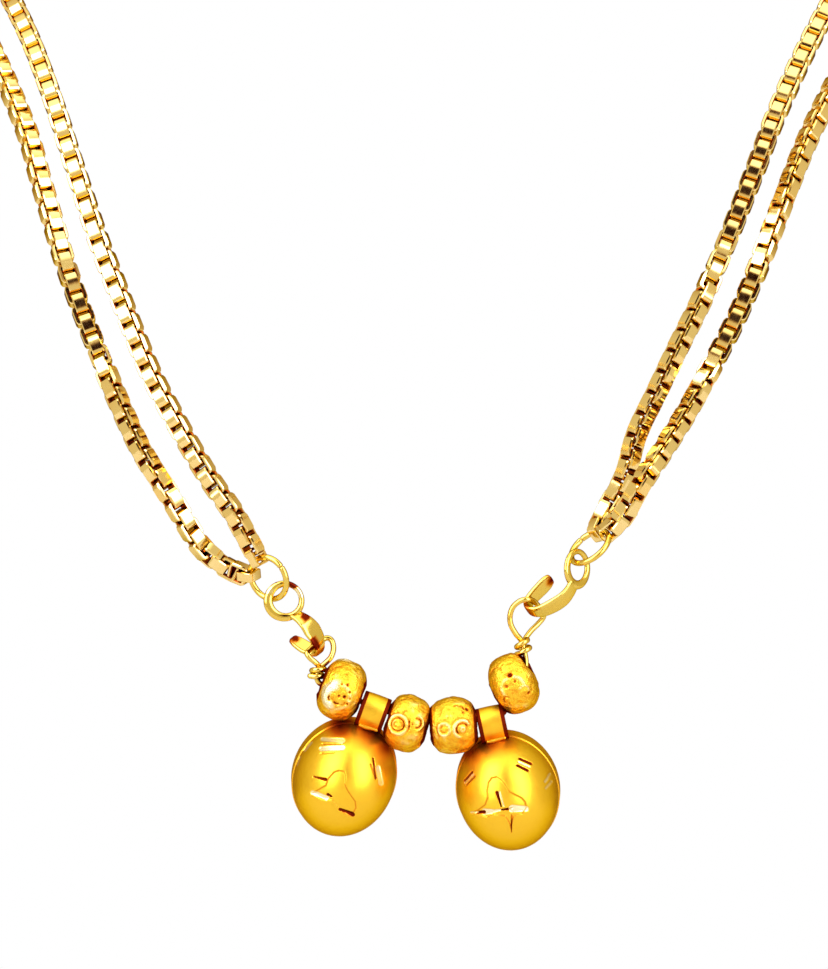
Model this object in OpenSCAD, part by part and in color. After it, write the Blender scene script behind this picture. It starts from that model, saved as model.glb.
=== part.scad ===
/* [Chain] */
// Width of the square box chain, drawn as a round tube
chain_d = 2.0; // [1.6:0.1:2.2]
// Distance between two rings of the chain's tube
chain_ring_gap = 5.5; // [4:0.5:7]

/* [End links] */
// Outside size of an end link
link_size = 2.0; // [1.8:0.1:2.1]
// Width of the strip that an end link is bent from
link_strip = 0.95; // [0.6:0.05:1]
// Thickness of that strip
link_wall = 0.3; // [0.2:0.05:0.3]

/* [Jump rings] */
// Outside diameter of a jump ring
ring_d = 5.0; // [4.8:0.1:5.2]
// Wire of a jump ring
ring_wire = 0.6; // [0.4:0.05:0.6]

/* [Hooks] */
// Outside diameter of a hook's eye
eye_d = 4.1; // [3.8:0.1:4.2]
// Width of the eye's flat wire
eye_band = 0.75; // [0.6:0.05:0.8]
// Thickness of the eye's flat wire
eye_thick = 0.5; // [0.4:0.05:0.6]
// Thickness of the hook's strip
strip_thick = 0.45; // [0.35:0.05:0.5]
// Widest part of the hook's strip
strip_w = 1.9; // [1.4:0.1:2]

/* [Bead wire] */
// Wire that the beads and vatis hang on
wire_d = 0.55; // [0.4:0.05:0.6]
// Turns of the wire's end around itself at each loop
wrap_turns = 1.5; // [1:0.25:1.75]

/* [Beads] */
// Length of an outer bead along its own axis
outer_bead_l = 4.5; // [4.3:0.1:4.6]
// Diameter of an outer bead
outer_bead_d = 6.1; // [5.8:0.1:6.2]
// Length of the left inner bead along its own axis
inner_left_l = 4.5; // [4.2:0.1:4.7]
// Length of the right inner bead along its own axis
inner_right_l = 5.1; // [4.6:0.1:5.2]
// Diameter of an inner bead
inner_bead_d = 5.7; // [5.4:0.1:5.8]
// Thickness of a bead's sheet
bead_wall = 0.3; // [0.2:0.05:0.5]
// Diameter of the hole at a bead's ends
bead_hole = 2.4; // [2:0.1:2.5]

/* [Vatis] */
// Width of a vati's mouth
cup_w = 10.6; // [10.4:0.1:10.7]
// Height of a vati's mouth
cup_h = 12.1; // [11.9:0.1:12.2]
// Depth of the straight band at the mouth
cup_band = 2.0; // [1.2:0.1:2.4]
// Depth of the dome beyond the band
cup_dome = 6.2; // [5.6:0.1:6.4]
// How far the band stands out from the dome
cup_step = 0.12; // [0:0.02:0.2]
// Thickness of a vati's wall
cup_wall = 0.45; // [0.35:0.05:0.6]
// Angle by which a vati looks down
cup_tilt = 17; // [14:1:18]
// Outside diameter of the tube bail
bail_d = 3.6; // [3.4:0.1:3.8]
// Bore of the tube bail
bail_bore = 2.4; // [2.2:0.1:2.6]
// Length of the tube bail
bail_l = 2.2; // [1.8:0.1:2.2]

/* [Hidden] */

gold = "gold";
dark_gold = "goldenrod";
round_fn = 48;
cup_sides = 40;
cup_rows = 10;
bead_rows = 9;
tube_sides = 8;

// The line of beads hangs this far in front of the nape, which is the origin
front_y = -118;

// Jump rings: centre, direction of the long way across as seen from the front,
// direction of the short way across, and the turn about the long way
ring_left_at = [-15.65, front_y, -90.8];
ring_left_turn = 41;
ring_left_lean = -62;
ring_right_at = [16.5, front_y, -87.7];
ring_right_turn = 60;
ring_right_lean = 38;
ring_mid = (ring_d - ring_wire) / 2;

// Where the end links sit round their jump ring, in degrees from its long way
link_inner_left_turn = 180;
link_outer_left_turn = 240;
link_inner_right_turn = -47;
link_outer_right_turn = -6;
// The jump ring's wire lies against the inside of the end link
link_reach = ring_mid + link_size / 2 - link_wall - ring_wire / 2 - 0.14;
// The chain's tube begins just clear of its end link, straight away from the jump ring at first
straight_start = 0.6;
chain_reach = link_reach + link_size / 2 + 0.1;

function unit(v) = v / norm(v);
function across(v, axis) = v - (v * axis) * axis;

// Axes of a jump ring: its long way lies in the front view, its short way is turned towards the viewer
function ring_long(lean) = [cos(lean), 0, sin(lean)];
function ring_short(lean, turn) = [
    -sin(lean) * cos(turn) * sign_of(lean), -sin(turn), cos(lean) * cos(turn) * sign_of(lean)
];
function sign_of(lean) = lean < 0 ? 1 : -1;
function ring_radial(lean, turn, at) =
    cos(at) * ring_long(lean) + sin(at) * ring_short(lean, turn);
function ring_tangent(lean, turn, at) =
    -sin(at) * ring_long(lean) + cos(at) * ring_short(lean, turn);

// A strand leaves its end link straight away from the jump ring
function strand_start(at, lean, turn, round_ring) = [
    for (further = [0, straight_start]) at + (chain_reach + further) * ring_radial(lean, turn, round_ring)
];
start_outer_left =
    strand_start(ring_left_at, ring_left_lean, ring_left_turn, link_outer_left_turn);
start_inner_left =
    strand_start(ring_left_at, ring_left_lean, ring_left_turn, link_inner_left_turn);
start_inner_right =
    strand_start(ring_right_at, ring_right_lean, ring_right_turn, link_inner_right_turn);
start_outer_right =
    strand_start(ring_right_at, ring_right_lean, ring_right_turn, link_outer_right_turn);

// Route of the outer strand: the left side as the front view shows it, the plain way round the
// nape, and the right side down again
outer_route = concat(
    start_outer_left,
    [
        [-21.9, -115.6, -88.2], [-23.3, -116.4, -86.3],
        [-24.8, -117.0, -83.8], [-26.4, -116.8, -81.2], [-28.5, -116.2, -77.8],
        [-30.6, -115.2, -73.3], [-32.6, -113.8, -68.5], [-34.4, -112.2, -64.0],
        [-35.9, -110.5, -59.8], [-37.3, -108.5, -55.2], [-38.6, -106.5, -50.8],
        [-40.0, -104.0, -46.0], [-42.8, -98.8, -39.4], [-46.8, -90.5, -31.6],
        [-51.0, -79.5, -24.2], [-54.3, -65.0, -17.8], [-55.3, -48.5, -12.4],
        [-52.3, -31.5, -8.0], [-44.5, -16.8, -4.6], [-32.0, -6.2, -2.6],
        [-16.5, -0.6, -1.7], [0, 1.0, -1.5], [16.5, -0.6, -1.7],
        [32.0, -6.2, -2.6], [44.5, -16.8, -4.6], [52.3, -31.5, -8.0],
        [55.3, -48.5, -12.4], [54.3, -65.0, -17.8], [51.0, -79.5, -24.2],
        [46.5, -90.5, -31.6], [42.2, -98.8, -39.4], [38.9, -103.8, -45.8],
        [36.8, -106.5, -50.8], [34.9, -108.7, -55.8], [33.1, -110.5, -60.4],
        [31.0, -112.2, -65.2], [28.6, -113.8, -69.8], [26.2, -115.0, -74.2],
        [23.7, -116.6, -78.2], [21.6, -118.2, -81.4]
    ],
    reversed(start_outer_right)
);

// Route of the inner strand, a little above and inside the outer one at the nape
inner_route = concat(
    start_inner_left,
    [
        [-19.2, -117.8, -84.2], [-21.2, -117.3, -81.4],
        [-23.4, -116.7, -77.8], [-25.4, -115.9, -74.2], [-27.4, -115.0, -70.4],
        [-29.3, -113.8, -65.8], [-31.0, -112.4, -61.4], [-32.7, -110.8, -57.0],
        [-34.3, -108.9, -52.2], [-35.8, -106.6, -47.6], [-37.3, -104.0, -43.0],
        [-40.0, -98.4, -36.0], [-44.0, -89.8, -28.2], [-48.2, -78.6, -20.8],
        [-51.5, -64.5, -14.4], [-52.5, -48.6, -9.0], [-49.6, -32.4, -4.6],
        [-42.2, -18.4, -1.2], [-30.4, -8.2, 0.7], [-15.6, -2.6, 1.5],
        [0, -1.0, 1.7], [15.6, -2.6, 1.5], [30.4, -8.2, 0.7],
        [42.2, -18.4, -1.2], [49.6, -32.4, -4.6], [52.5, -48.6, -9.0],
        [51.5, -64.5, -14.4], [48.2, -78.6, -20.8], [43.4, -89.8, -28.6],
        [38.9, -98.4, -36.6], [35.5, -104.0, -43.8], [33.4, -106.9, -49.2],
        [31.6, -109.0, -53.8], [29.8, -110.8, -58.2], [27.6, -112.6, -63.2],
        [25.4, -114.0, -67.6], [23.2, -114.8, -72.2], [21.2, -115.2, -76.4],
        [20.0, -115.6, -80.6]
    ],
    reversed(start_inner_right)
);

// Eyes of the hooks: centre, and the turn of the eye's plane away from the front view
eye_left_at = [-14.1, front_y, -93.1];
eye_left_turn = 0;
eye_right_at = [15.2, front_y, -89.9];
eye_right_turn = 53;
// Where the strip leaves the eye: turn from the eye's lowest point
leave_left = 38;
leave_right = -22;
leave_reach = eye_d / 2 - eye_band / 2;
// The hook's strip: direction away from straight down, roll about that direction, and length
strip_left_lean = 38;
strip_left_roll = 36;
strip_left_l = 4.5;
strip_right_lean = -55;
strip_right_roll = 53;
strip_right_l = 5.1;
// Middle of the hook's strip seen from its edge: sideways, and share of its length from the eye
strip_left_route = [
    [0, 0], [-0.45, 0.14], [-0.75, 0.31], [-0.75, 0.51], [-0.5, 0.76], [0.0, 0.93],
    [0.7, 1.0], [1.3, 0.94], [1.8, 0.8], [2.3, 0.62], [2.8, 0.42]
];
strip_right_route = [
    [0, 0], [-0.45, 0.14], [-0.75, 0.31], [-0.75, 0.51], [-0.5, 0.76], [0.0, 0.93],
    [0.7, 1.0], [1.35, 0.92], [1.65, 0.75], [1.9, 0.55], [2.2, 0.31]
];
// Half the strip's width seen flat, as a share of strip_w: share of its length, share
strip_left_taper = [
    [-0.1, 0.3], [0.12, 0.36], [0.31, 0.46], [0.51, 0.54], [0.75, 0.46], [0.93, 0.3], [1.1, 0.24]
];
strip_right_taper = [
    [-0.1, 0.42], [0.12, 0.46], [0.31, 0.52], [0.51, 0.55], [0.75, 0.51], [0.9, 0.44], [1.1, 0.4]
];

// Bails: centre and slope of the wire there, and how each cup is soldered to its bail: shifted
// sideways and down, leaning and turned
bail_left_at = [-5.2, front_y, -104.2];
bail_left_slope = -20;
cup_left_shift = [-0.15, 0, -0.2];
cup_left_lean = 0;
cup_left_turn = 8;
bail_right_at = [6.7, front_y, -105.4];
bail_right_slope = 12;
cup_right_shift = [-0.05, -0.05, 0.05];
cup_right_lean = 0;
cup_right_turn = -6;

// Beads: centre, slope of the bead's own axis, slope of its hole
bead_outer_left_at = [-8.34, front_y - 0.1, -102.02];
bead_inner_left_at = [-1.8, front_y - 0.25, -105.33];
bead_inner_right_at = [2.9, front_y - 0.35, -105.53];
bead_outer_right_at = [8.72, front_y, -101.52];

// Route of the bead wire: the standing part at each end, the loop that goes up from it through the
// hook and comes back to it, and the way through bails and beads. A formula gives the wraps.
stem_left = [[-10.64, -118.0, -99.68], [-10.8, -118.0, -100.7]];
stem_right = [[9.62, -118.0, -97.05], [9.95, -118.0, -98.2]];
loop_left = [
    [-10.95, -118.2, -99.25], [-11.5, -118.35, -98.8], [-11.8, -118.2, -98.3],
    [-11.5, -117.8, -97.95], [-11.0, -117.45, -97.55], [-10.4, -117.0, -97.1],
    [-9.8, -116.8, -96.8], [-9.3, -116.9, -97.1], [-9.15, -117.2, -97.9],
    [-9.4, -117.5, -98.7], [-9.9, -117.45, -99.25]
];
loop_right = [
    [9.1, -118.3, -96.4], [8.6, -118.5, -95.5], [8.5, -118.6, -94.6],
    [8.8, -118.7, -93.7], [9.5, -118.9, -93.1], [10.2, -118.95, -92.95],
    [10.85, -118.4, -93.1], [11.35, -117.6, -93.6], [11.75, -116.95, -94.05],
    [11.85, -116.5, -94.7], [11.3, -116.6, -95.4], [10.6, -117.0, -96.1]
];
wire_through = [
    [-10.55, -118.0, -101.3], [-9.7, -118.0, -101.7], [-8.2, -118.0, -102.2],
    [-6.2, -118.0, -103.25], [-5.0, -118.0, -103.68], [-3.75, -118.0, -104.15],
    [-1.7, -118.0, -104.8], [0.7, -118.0, -105.15], [3.0, -118.0, -105.15],
    [5.1, -118.0, -104.98], [6.4, -118.0, -104.7], [7.65, -118.0, -104.42],
    [8.15, -118.0, -103.7], [9.05, -118.0, -101.75], [9.9, -118.0, -100.2],
    [10.1, -118.0, -99.3]
];

// The wrapped wire lies just clear of the wire inside it, and its end sticks out this far
wrap_r = wire_d + 0.06;
stub_l = 0.2;

// A smooth line through the points of a route, and its length
function spline_point(a, b, c, d, t) =
    0.5 * (2 * b + (c - a) * t + (2 * a - 5 * b + 4 * c - d) * t * t
        + (3 * b - a - 3 * c + d) * t * t * t);
function route_points(route, gap) = let (last = len(route) - 1) concat(
    [
        for (i = [0:last - 1])
            let (
                a = route[max(i - 1, 0)],
                d = route[min(i + 2, last)],
                steps = max(1, round(norm(route[i + 1] - route[i]) / gap))
            )
            for (k = [0:steps - 1]) spline_point(a, route[i], route[i + 1], d, k / steps)
    ],
    [route[last]]
);

// Direction of a line of points at one of them
function heading(line, i) = unit(line[min(i + 1, len(line) - 1)] - line[max(i - 1, 0)]);

// Side directions that turn as little as possible from each point to the next
function sides_from(line, first) = [
    for (
        i = 0, side = unit(across(first, heading(line, 0)));
        i < len(line);
        i = i + 1, side = i < len(line) ? unit(across(side, heading(line, i))) : side
    ) side
];

// A closed round tube along a line of points
module tube(line, r, first) {
    count = len(line);
    sides = sides_from(line, first);
    points = [
        for (i = [0:count - 1])
            let (u = sides[i], v = cross(heading(line, i), u))
            for (k = [0:tube_sides - 1])
                let (a = 360 * k / tube_sides) line[i] + r * (cos(a) * u + sin(a) * v)
    ];
    walls = [
        for (i = [0:count - 2], k = [0:tube_sides - 1])
            let (
                a = i * tube_sides + k,
                b = i * tube_sides + (k + 1) % tube_sides
            )
            each [[a, a + tube_sides, b + tube_sides], [a, b + tube_sides, b]]
    ];
    start_cap = [[for (k = [0:tube_sides - 1]) k]];
    end_cap = [[for (k = [tube_sides - 1:-1:0]) (count - 1) * tube_sides + k]];
    polyhedron(points = points, faces = concat(start_cap, walls, end_cap), convexity = 8);
}

module chain(route) {
    color(gold) tube(route_points(route, chain_ring_gap), chain_d / 2, [0, 0, 1]);
}

// Turns a child whose own axes are x, y and z so that they follow three directions
module along(x, y, z) {
    multmatrix([
        [x[0], y[0], z[0], 0],
        [x[1], y[1], z[1], 0],
        [x[2], y[2], z[2], 0],
        [0, 0, 0, 1]
    ]) children();
}

module jump_ring(at, lean, turn) {
    long = ring_long(lean);
    short = ring_short(lean, turn);
    color(gold) translate(at) along(long, short, cross(long, short))
        rotate_extrude($fn = round_fn) translate([ring_mid, 0]) circle(d = ring_wire, $fn = 24);
}

// A square link, with the jump ring's wire along its hole
module end_link(at, lean, turn, round_ring) {
    radial = ring_radial(lean, turn, round_ring);
    tangent = ring_tangent(lean, turn, round_ring);
    color(gold) translate(at + link_reach * radial) along(radial, cross(tangent, radial), tangent)
        difference() {
            cube([link_size, link_size, link_strip], center = true);
            cube([link_size - 2 * link_wall, link_size - 2 * link_wall, 2 * link_strip], center = true);
        }
}

// Outline of a strip of even thickness along a line of points in a plane
function normal_2d(line, i) = let (h = heading(line, i)) [-h[1], h[0]];
function strip_outline(line, thick) = concat(
    [for (i = [0:len(line) - 1]) line[i] + normal_2d(line, i) * thick / 2],
    [for (i = [len(line) - 1:-1:0]) line[i] - normal_2d(line, i) * thick / 2]
);

// The eye is a flat ring, and the strip below it is bent back on itself
module hook(at, eye_turn, leave, lean, roll, length, route, taper) {
    down = [sin(lean), 0, -cos(lean)];
    beside = [cos(lean), 0, sin(lean)];
    width = cos(roll) * beside + sin(roll) * [0, 1, 0];
    back = cross(width, down);
    leaving = [sin(leave) * cos(eye_turn), sin(leave) * sin(eye_turn), -cos(leave)];
    chamfer = eye_thick / 4;
    color(gold) translate(at) union() {
        rotate([90, 0, eye_turn]) rotate_extrude($fn = round_fn) polygon([
            [eye_d / 2 - eye_band, -eye_thick / 2 + chamfer],
            [eye_d / 2 - eye_band + chamfer, -eye_thick / 2],
            [eye_d / 2 - chamfer, -eye_thick / 2],
            [eye_d / 2, -eye_thick / 2 + chamfer],
            [eye_d / 2, eye_thick / 2 - chamfer],
            [eye_d / 2 - chamfer, eye_thick / 2],
            [eye_d / 2 - eye_band + chamfer, eye_thick / 2],
            [eye_d / 2 - eye_band, eye_thick / 2 - chamfer]
        ]);
        translate(leave_reach * leaving) along(width, back, -down) hook_strip(length, route, taper);
    }
}

module hook_strip(length, route, taper) {
    bent = route_points([for (row = route) [row[0], -row[1] * length]], 0.3);
    outline = [for (row = taper) [row[1] * strip_w, -row[0] * length]];
    intersection() {
        rotate([90, 0, 90]) linear_extrude(height = 2 * strip_w, center = true)
            polygon(strip_outline(bent, strip_thick));
        rotate([90, 0, 0]) linear_extrude(height = 8, center = true)
            polygon(concat(outline, [for (row = reversed(outline)) [-row[0], row[1]]]));
    }
}

// A hollow ball flattened along its own axis, with a hole right through
module bead(at, length, diameter, slope, hole_slope) {
    a = length / 2;
    b = diameter / 2;
    profile = concat(
        [for (i = [0:bead_rows]) let (t = 180 * i / bead_rows) [b * sin(t), a * cos(t)]],
        [
            for (i = [bead_rows:-1:0])
                let (t = 180 * i / bead_rows) [(b - bead_wall) * sin(t), (a - bead_wall) * cos(t)]
        ]
    );
    color(dark_gold) translate(at) difference() {
        rotate([0, 90 - slope, 0]) rotate_extrude($fn = round_fn) polygon(profile);
        rotate([0, 90 - hole_slope, 0])
            cylinder(d = bead_hole, h = 2 * diameter, center = true, $fn = round_fn);
    }
}

// Rows of a cup's side: depth from the mouth, and share of the mouth's size
function cup_profile(inset) = concat(
    [[0, 0], [cup_band - cup_step, 0], [cup_band, 0]],
    [for (i = [1:cup_rows - 1]) let (t = 90 * i / cup_rows) [cup_band + (cup_dome - inset) * sin(t), t]]
);

function cup_row(depth, t, inset) = let (
        shrink = depth > cup_band ? cos(t) : 1,
        in = inset + (depth >= cup_band ? cup_step : 0),
        half_w = (cup_w / 2 - in) * shrink,
        half_h = (cup_h / 2 - in) * shrink
    )
    [for (k = [0:cup_sides - 1]) let (a = 360 * k / cup_sides) [half_w * cos(a), -depth, half_h * sin(a)]];

// A deep cup about its own axis, mouth at y = 0, open towards +Y
module cup() {
    outer = cup_profile(0);
    inner = cup_profile(cup_wall);
    rows = len(outer);
    points = concat(
        [for (row = outer) each cup_row(row[0], row[1], 0)],
        [[0, -(cup_band + cup_dome), 0]],
        [for (row = inner) each cup_row(row[0], row[1], cup_wall)],
        [[0, -(cup_band + cup_dome - cup_wall), 0]]
    );
    outer_tip = rows * cup_sides;
    inner_from = outer_tip + 1;
    inner_tip = inner_from + rows * cup_sides;
    outer_faces = [
        for (r = [0:rows - 2], k = [0:cup_sides - 1])
            let (a = r * cup_sides + k, b = r * cup_sides + (k + 1) % cup_sides)
            each [[a, b + cup_sides, b], [a, a + cup_sides, b + cup_sides]]
    ];
    inner_faces = [
        for (r = [0:rows - 2], k = [0:cup_sides - 1])
            let (
                a = inner_from + r * cup_sides + k,
                b = inner_from + r * cup_sides + (k + 1) % cup_sides
            )
            each [[a, b, b + cup_sides], [a, b + cup_sides, a + cup_sides]]
    ];
    outer_cap = [
        for (k = [0:cup_sides - 1])
            [(rows - 1) * cup_sides + (k + 1) % cup_sides, (rows - 1) * cup_sides + k, outer_tip]
    ];
    inner_cap = [
        for (k = [0:cup_sides - 1])
            [
                inner_from + (rows - 1) * cup_sides + k,
                inner_from + (rows - 1) * cup_sides + (k + 1) % cup_sides, inner_tip
            ]
    ];
    mouth = [
        for (k = [0:cup_sides - 1])
            let (next = (k + 1) % cup_sides)
            each [[k, next, inner_from + k], [next, inner_from + next, inner_from + k]]
    ];
    polyhedron(
        points = points,
        faces = concat(outer_faces, outer_cap, inner_faces, inner_cap, mouth),
        convexity = 6
    );
}

// Top of a cup's mouth, seen from the middle of its bail, so that the cup balances below the bail
mouth_top = [0, 2.17, -0.7];
// The solder in the corner between the bail's front and the cup
solder_d = 0.9;
solder_at = [0, -1.15, -1.55];

module vati(at, slope, shift, lean, turn) {
    color(gold) translate(at) rotate([0, -slope, 0]) difference() {
        union() {
            rotate([0, -lean, 0]) rotate([0, 0, turn])
                translate(mouth_top + shift) rotate([cup_tilt, 0, 0]) translate([0, 0, -cup_h / 2]) cup();
            rotate([0, 90, 0]) cylinder(d = bail_d, h = bail_l, center = true, $fn = round_fn);
            translate(solder_at) rotate([0, 90, 0])
                cylinder(d = solder_d, h = bail_l * 0.8, center = true, $fn = round_fn);
        }
        rotate([0, 90, 0]) cylinder(d = bail_bore, h = 3 * bail_l, center = true, $fn = round_fn);
    }
}

// The wire's end goes round its own standing part in even turns, then sticks out a little
function wrap(stem, start_angle) = let (
        axis = unit(stem[1] - stem[0]),
        u = unit(across([0, -1, 0], axis)),
        v = cross(axis, u),
        steps = ceil(wrap_turns * 8),
        last = start_angle + 360 * wrap_turns
    )
    concat(
        [
            for (i = [0:steps])
                let (a = start_angle + 360 * wrap_turns * i / steps)
                stem[0] + (stem[1] - stem[0]) * i / steps + wrap_r * (cos(a) * u + sin(a) * v)
        ],
        [stem[1] + (wrap_r + stub_l) * (cos(last + 40) * u + sin(last + 40) * v)]
    );

function reversed(line) = [for (i = [len(line) - 1:-1:0]) line[i]];

module bead_wire() {
    left_end = concat(reversed(wrap(stem_left, 200)), reversed(loop_left));
    right_end = concat(loop_right, wrap(stem_right, 220));
    middle = route_points(concat([stem_left[1]], wire_through, [stem_right[1]]), 1.4);
    color(gold)
        tube(concat(left_end, [stem_left[0]], middle, [stem_right[0]], right_end), wire_d / 2, [0, 1, 0]);
}

chain(outer_route);  // chain_outer
chain(inner_route);  // chain_inner
end_link(ring_left_at, ring_left_lean, ring_left_turn, link_outer_left_turn);  // end_link_outer_left
end_link(ring_left_at, ring_left_lean, ring_left_turn, link_inner_left_turn);  // end_link_inner_left
end_link(ring_right_at, ring_right_lean, ring_right_turn, link_inner_right_turn);  // end_link_inner_right
end_link(ring_right_at, ring_right_lean, ring_right_turn, link_outer_right_turn);  // end_link_outer_right
jump_ring(ring_left_at, ring_left_lean, ring_left_turn);  // jump_ring_left
jump_ring(ring_right_at, ring_right_lean, ring_right_turn);  // jump_ring_right
hook(eye_left_at, eye_left_turn, leave_left, strip_left_lean, strip_left_roll, strip_left_l,  // hook_left
        strip_left_route, strip_left_taper);
hook(eye_right_at, eye_right_turn, leave_right, strip_right_lean, strip_right_roll, strip_right_l,  // hook_right
        strip_right_route, strip_right_taper);
bead_wire();
bead(bead_outer_left_at, outer_bead_l, outer_bead_d, -20, -22);  // bead_outer_left
bead(bead_inner_left_at, inner_left_l, inner_bead_d, -12, -14);  // bead_inner_left
bead(bead_inner_right_at, inner_right_l, inner_bead_d, 5, 2);  // bead_inner_right
bead(bead_outer_right_at, outer_bead_l, outer_bead_d, 28, 62);  // bead_outer_right
vati(bail_left_at, bail_left_slope, cup_left_shift, cup_left_lean, cup_left_turn);  // vati_left
vati(bail_right_at, bail_right_slope, cup_right_shift, cup_right_lean, cup_right_turn);  // vati_right
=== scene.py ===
"""Looks of a gold mangalsutra: two box-chain strands, hooks, a wire of beads and two vatis."""
import math
from collections import namedtuple

import bpy
import numpy as np
from bpy.props import FloatProperty, FloatVectorProperty, PointerProperty
from bpy.types import Operator, Panel, PropertyGroup
from mathutils import Matrix, Vector


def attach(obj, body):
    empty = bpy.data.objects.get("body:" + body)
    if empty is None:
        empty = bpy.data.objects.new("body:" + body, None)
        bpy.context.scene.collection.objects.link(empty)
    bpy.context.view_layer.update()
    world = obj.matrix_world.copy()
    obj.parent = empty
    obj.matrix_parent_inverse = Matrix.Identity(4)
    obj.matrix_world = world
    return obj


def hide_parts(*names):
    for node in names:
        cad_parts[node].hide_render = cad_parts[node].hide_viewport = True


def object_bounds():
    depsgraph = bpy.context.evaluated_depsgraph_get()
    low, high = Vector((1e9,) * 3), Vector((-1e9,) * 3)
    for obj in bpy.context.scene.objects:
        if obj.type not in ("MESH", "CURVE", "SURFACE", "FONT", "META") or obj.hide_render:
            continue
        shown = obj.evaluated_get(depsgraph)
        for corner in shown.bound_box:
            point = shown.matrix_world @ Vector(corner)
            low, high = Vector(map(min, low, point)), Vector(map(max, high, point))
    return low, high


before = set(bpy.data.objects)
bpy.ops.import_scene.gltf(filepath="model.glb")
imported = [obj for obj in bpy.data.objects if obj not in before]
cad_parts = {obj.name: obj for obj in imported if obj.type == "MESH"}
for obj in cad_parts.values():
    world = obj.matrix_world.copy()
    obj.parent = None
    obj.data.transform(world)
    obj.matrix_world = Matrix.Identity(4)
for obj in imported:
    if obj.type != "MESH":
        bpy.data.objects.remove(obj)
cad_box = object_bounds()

bl_info = {
    "name": "Mangalsutra",
    "version": (1, 0, 0),
    "blender": (4, 5, 0),
    "location": "3D View > Sidebar > Mangalsutra",
    "description": "Builds the pieces of a gold mangalsutra round its packed frame",
    "category": "Add Mesh",
}

MM = 0.001

# The photograph: its size in pixels, the pixels to a millimetre, and the pixel that lies on the
# frame's X and Z zero
PHOTO_WIDE = 828
PHOTO_HIGH = 969
PX_PER_MM = 10
ZERO_PX = (425, -330)
# The line of beads hangs this far in front of the nape, in mm
FRONT_Y = -118


# Sizes and colours that a user would change

def length(name, description, millimetres):
    """A length in metres whose default is given in millimetres."""
    return FloatProperty(
        name=name, description=description, default=millimetres * MM, min=0, precision=5,
        unit="LENGTH", subtype="DISTANCE",
    )


def colour(name, description, default):
    return FloatVectorProperty(
        name=name, description=description, default=default, size=3, min=0, max=1,
        subtype="COLOR",
    )


def share(name, description, default):
    return FloatProperty(
        name=name, description=description, default=default, min=0, max=1, subtype="FACTOR"
    )


class ChainSettings(PropertyGroup):
    pitch: length("Pitch", "Distance from one link's middle to the next one's", 1.17)
    across: length("Link width", "Outside width of a link's loop", 2.06)
    along: length("Link length", "Outside length of a link's loop", 2.1)
    corner: length("Corner", "Radius of a loop's rounded corners", 0.46)
    strip: length("Strip width", "Width of the strip that a link is bent from", 1.24)
    thick: length("Strip thickness", "Thickness of that strip", 0.4)


class RingSettings(PropertyGroup):
    diameter: length("Diameter", "Outside diameter of a jump ring", 5.0)
    wire: length("Wire", "Thickness of a jump ring's wire", 0.6)
    cut: length("Cut", "Gap where the ring's two ends meet", 0.05)


class HookSettings(PropertyGroup):
    eye: length("Eye", "Outside diameter of a hook's eye", 4.1)
    band: length("Eye band", "Width of the eye's wire where it is widest", 0.95)
    band_narrow: length("Narrow band", "Width of the eye's wire where it is narrowest", 0.55)
    eye_thick: length("Eye thickness", "Thickness of the eye's wire", 0.55)
    strip: length("Strip width", "Widest part of the hook's strip", 1.9)
    thick: length("Strip thickness", "Thickness of the hook's strip", 0.45)


class WireSettings(PropertyGroup):
    diameter: length("Diameter", "Wire that the beads and vatis hang on", 0.55)
    turns: FloatProperty(
        name="Wrap turns", description="Turns of the wire's end round itself at each loop",
        default=1.5, min=1, max=1.75,
    )


class BeadSettings(PropertyGroup):
    outer_left_length: length("Outer left length", "Length of the left outer bead", 4.62)
    outer_right_length: length("Outer right length", "Length of the right outer bead", 4.7)
    outer_diameter: length("Outer diameter", "Diameter of an outer bead", 6.1)
    inner_left_length: length("Inner left length", "Length of the left inner bead", 4.55)
    inner_right_length: length("Inner right length", "Length of the right inner bead", 5.1)
    inner_diameter: length("Inner diameter", "Diameter of an inner bead", 5.7)
    wall: length("Wall", "Thickness of a bead's sheet", 0.3)
    hole: length("Hole", "Diameter of the hole at a bead's ends", 2.4)
    stamp: length("Stamp depth", "Depth of the stamped rings and dots", 0.19)


class VatiSettings(PropertyGroup):
    wide: length("Width", "Width of a vati's mouth", 10.35)
    high: length("Height", "Height of a vati's mouth", 12.0)
    band: length("Band", "Depth of the straight band at the mouth", 2.0)
    dome: length("Dome", "Depth of the dome beyond the band", 6.2)
    step: length("Step", "How far the band stands out from the dome", 0.12)
    wall: length("Wall", "Thickness of a vati's wall", 0.45)
    bail: length("Bail", "Outside diameter of the tube bail", 3.6)
    bore: length("Bore", "Bore of the tube bail", 2.4)
    bail_long: length("Bail length", "Length of the tube bail", 2.8)
    cut: length("Cut depth", "Depth of the cuts of the engraving", 0.16)


class GoldSettings(PropertyGroup):
    gold: colour("Gold", "Colour of the clean metal", (1.0, 0.61, 0.03))
    pale: colour("Pale gold", "Colour of the chain's metal", (1.0, 0.76, 0.25))
    drawn: colour("Drawn gold", "Colour of the metal of wire, rings and hooks", (0.86, 0.62, 0.1))
    deep: colour("Deep gold", "Colour of the metal in its deeper patches", (0.98, 0.5, 0.015))
    # Grime and shade: the dark metal in cuts, and the painted shade in corners, creases and gaps
    grime_and_shade: colour("Grime", "Colour of the dark metal in cuts and corners", (0.16, 0.011, 0.002))
    # Burnt gold and shade: random mottle in the grain, and the lighter end of the painted shade
    burnt_and_shade: colour("Burnt gold", "Colour of the metal where its wear begins", (0.78, 0.2, 0.008))
    edge: colour("Edge tint", "Colour of the metal seen at a grazing angle", (0.3, 0.2, 0.04))
    # Fresh cut and highlight: the bright facets of cuts, and painted highlights on beads and hook eyes
    fresh_and_highlight: colour("Fresh cut", "Colour of freshly cut metal", (1.0, 0.86, 0.4))
    polish: share("Polish", "Roughness of chain and wire", 0.11)
    cup_polish: share("Vati polish", "Roughness of the vatis", 0.36)
    satin: share("Satin", "Roughness of the stamped beads", 0.36)


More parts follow.
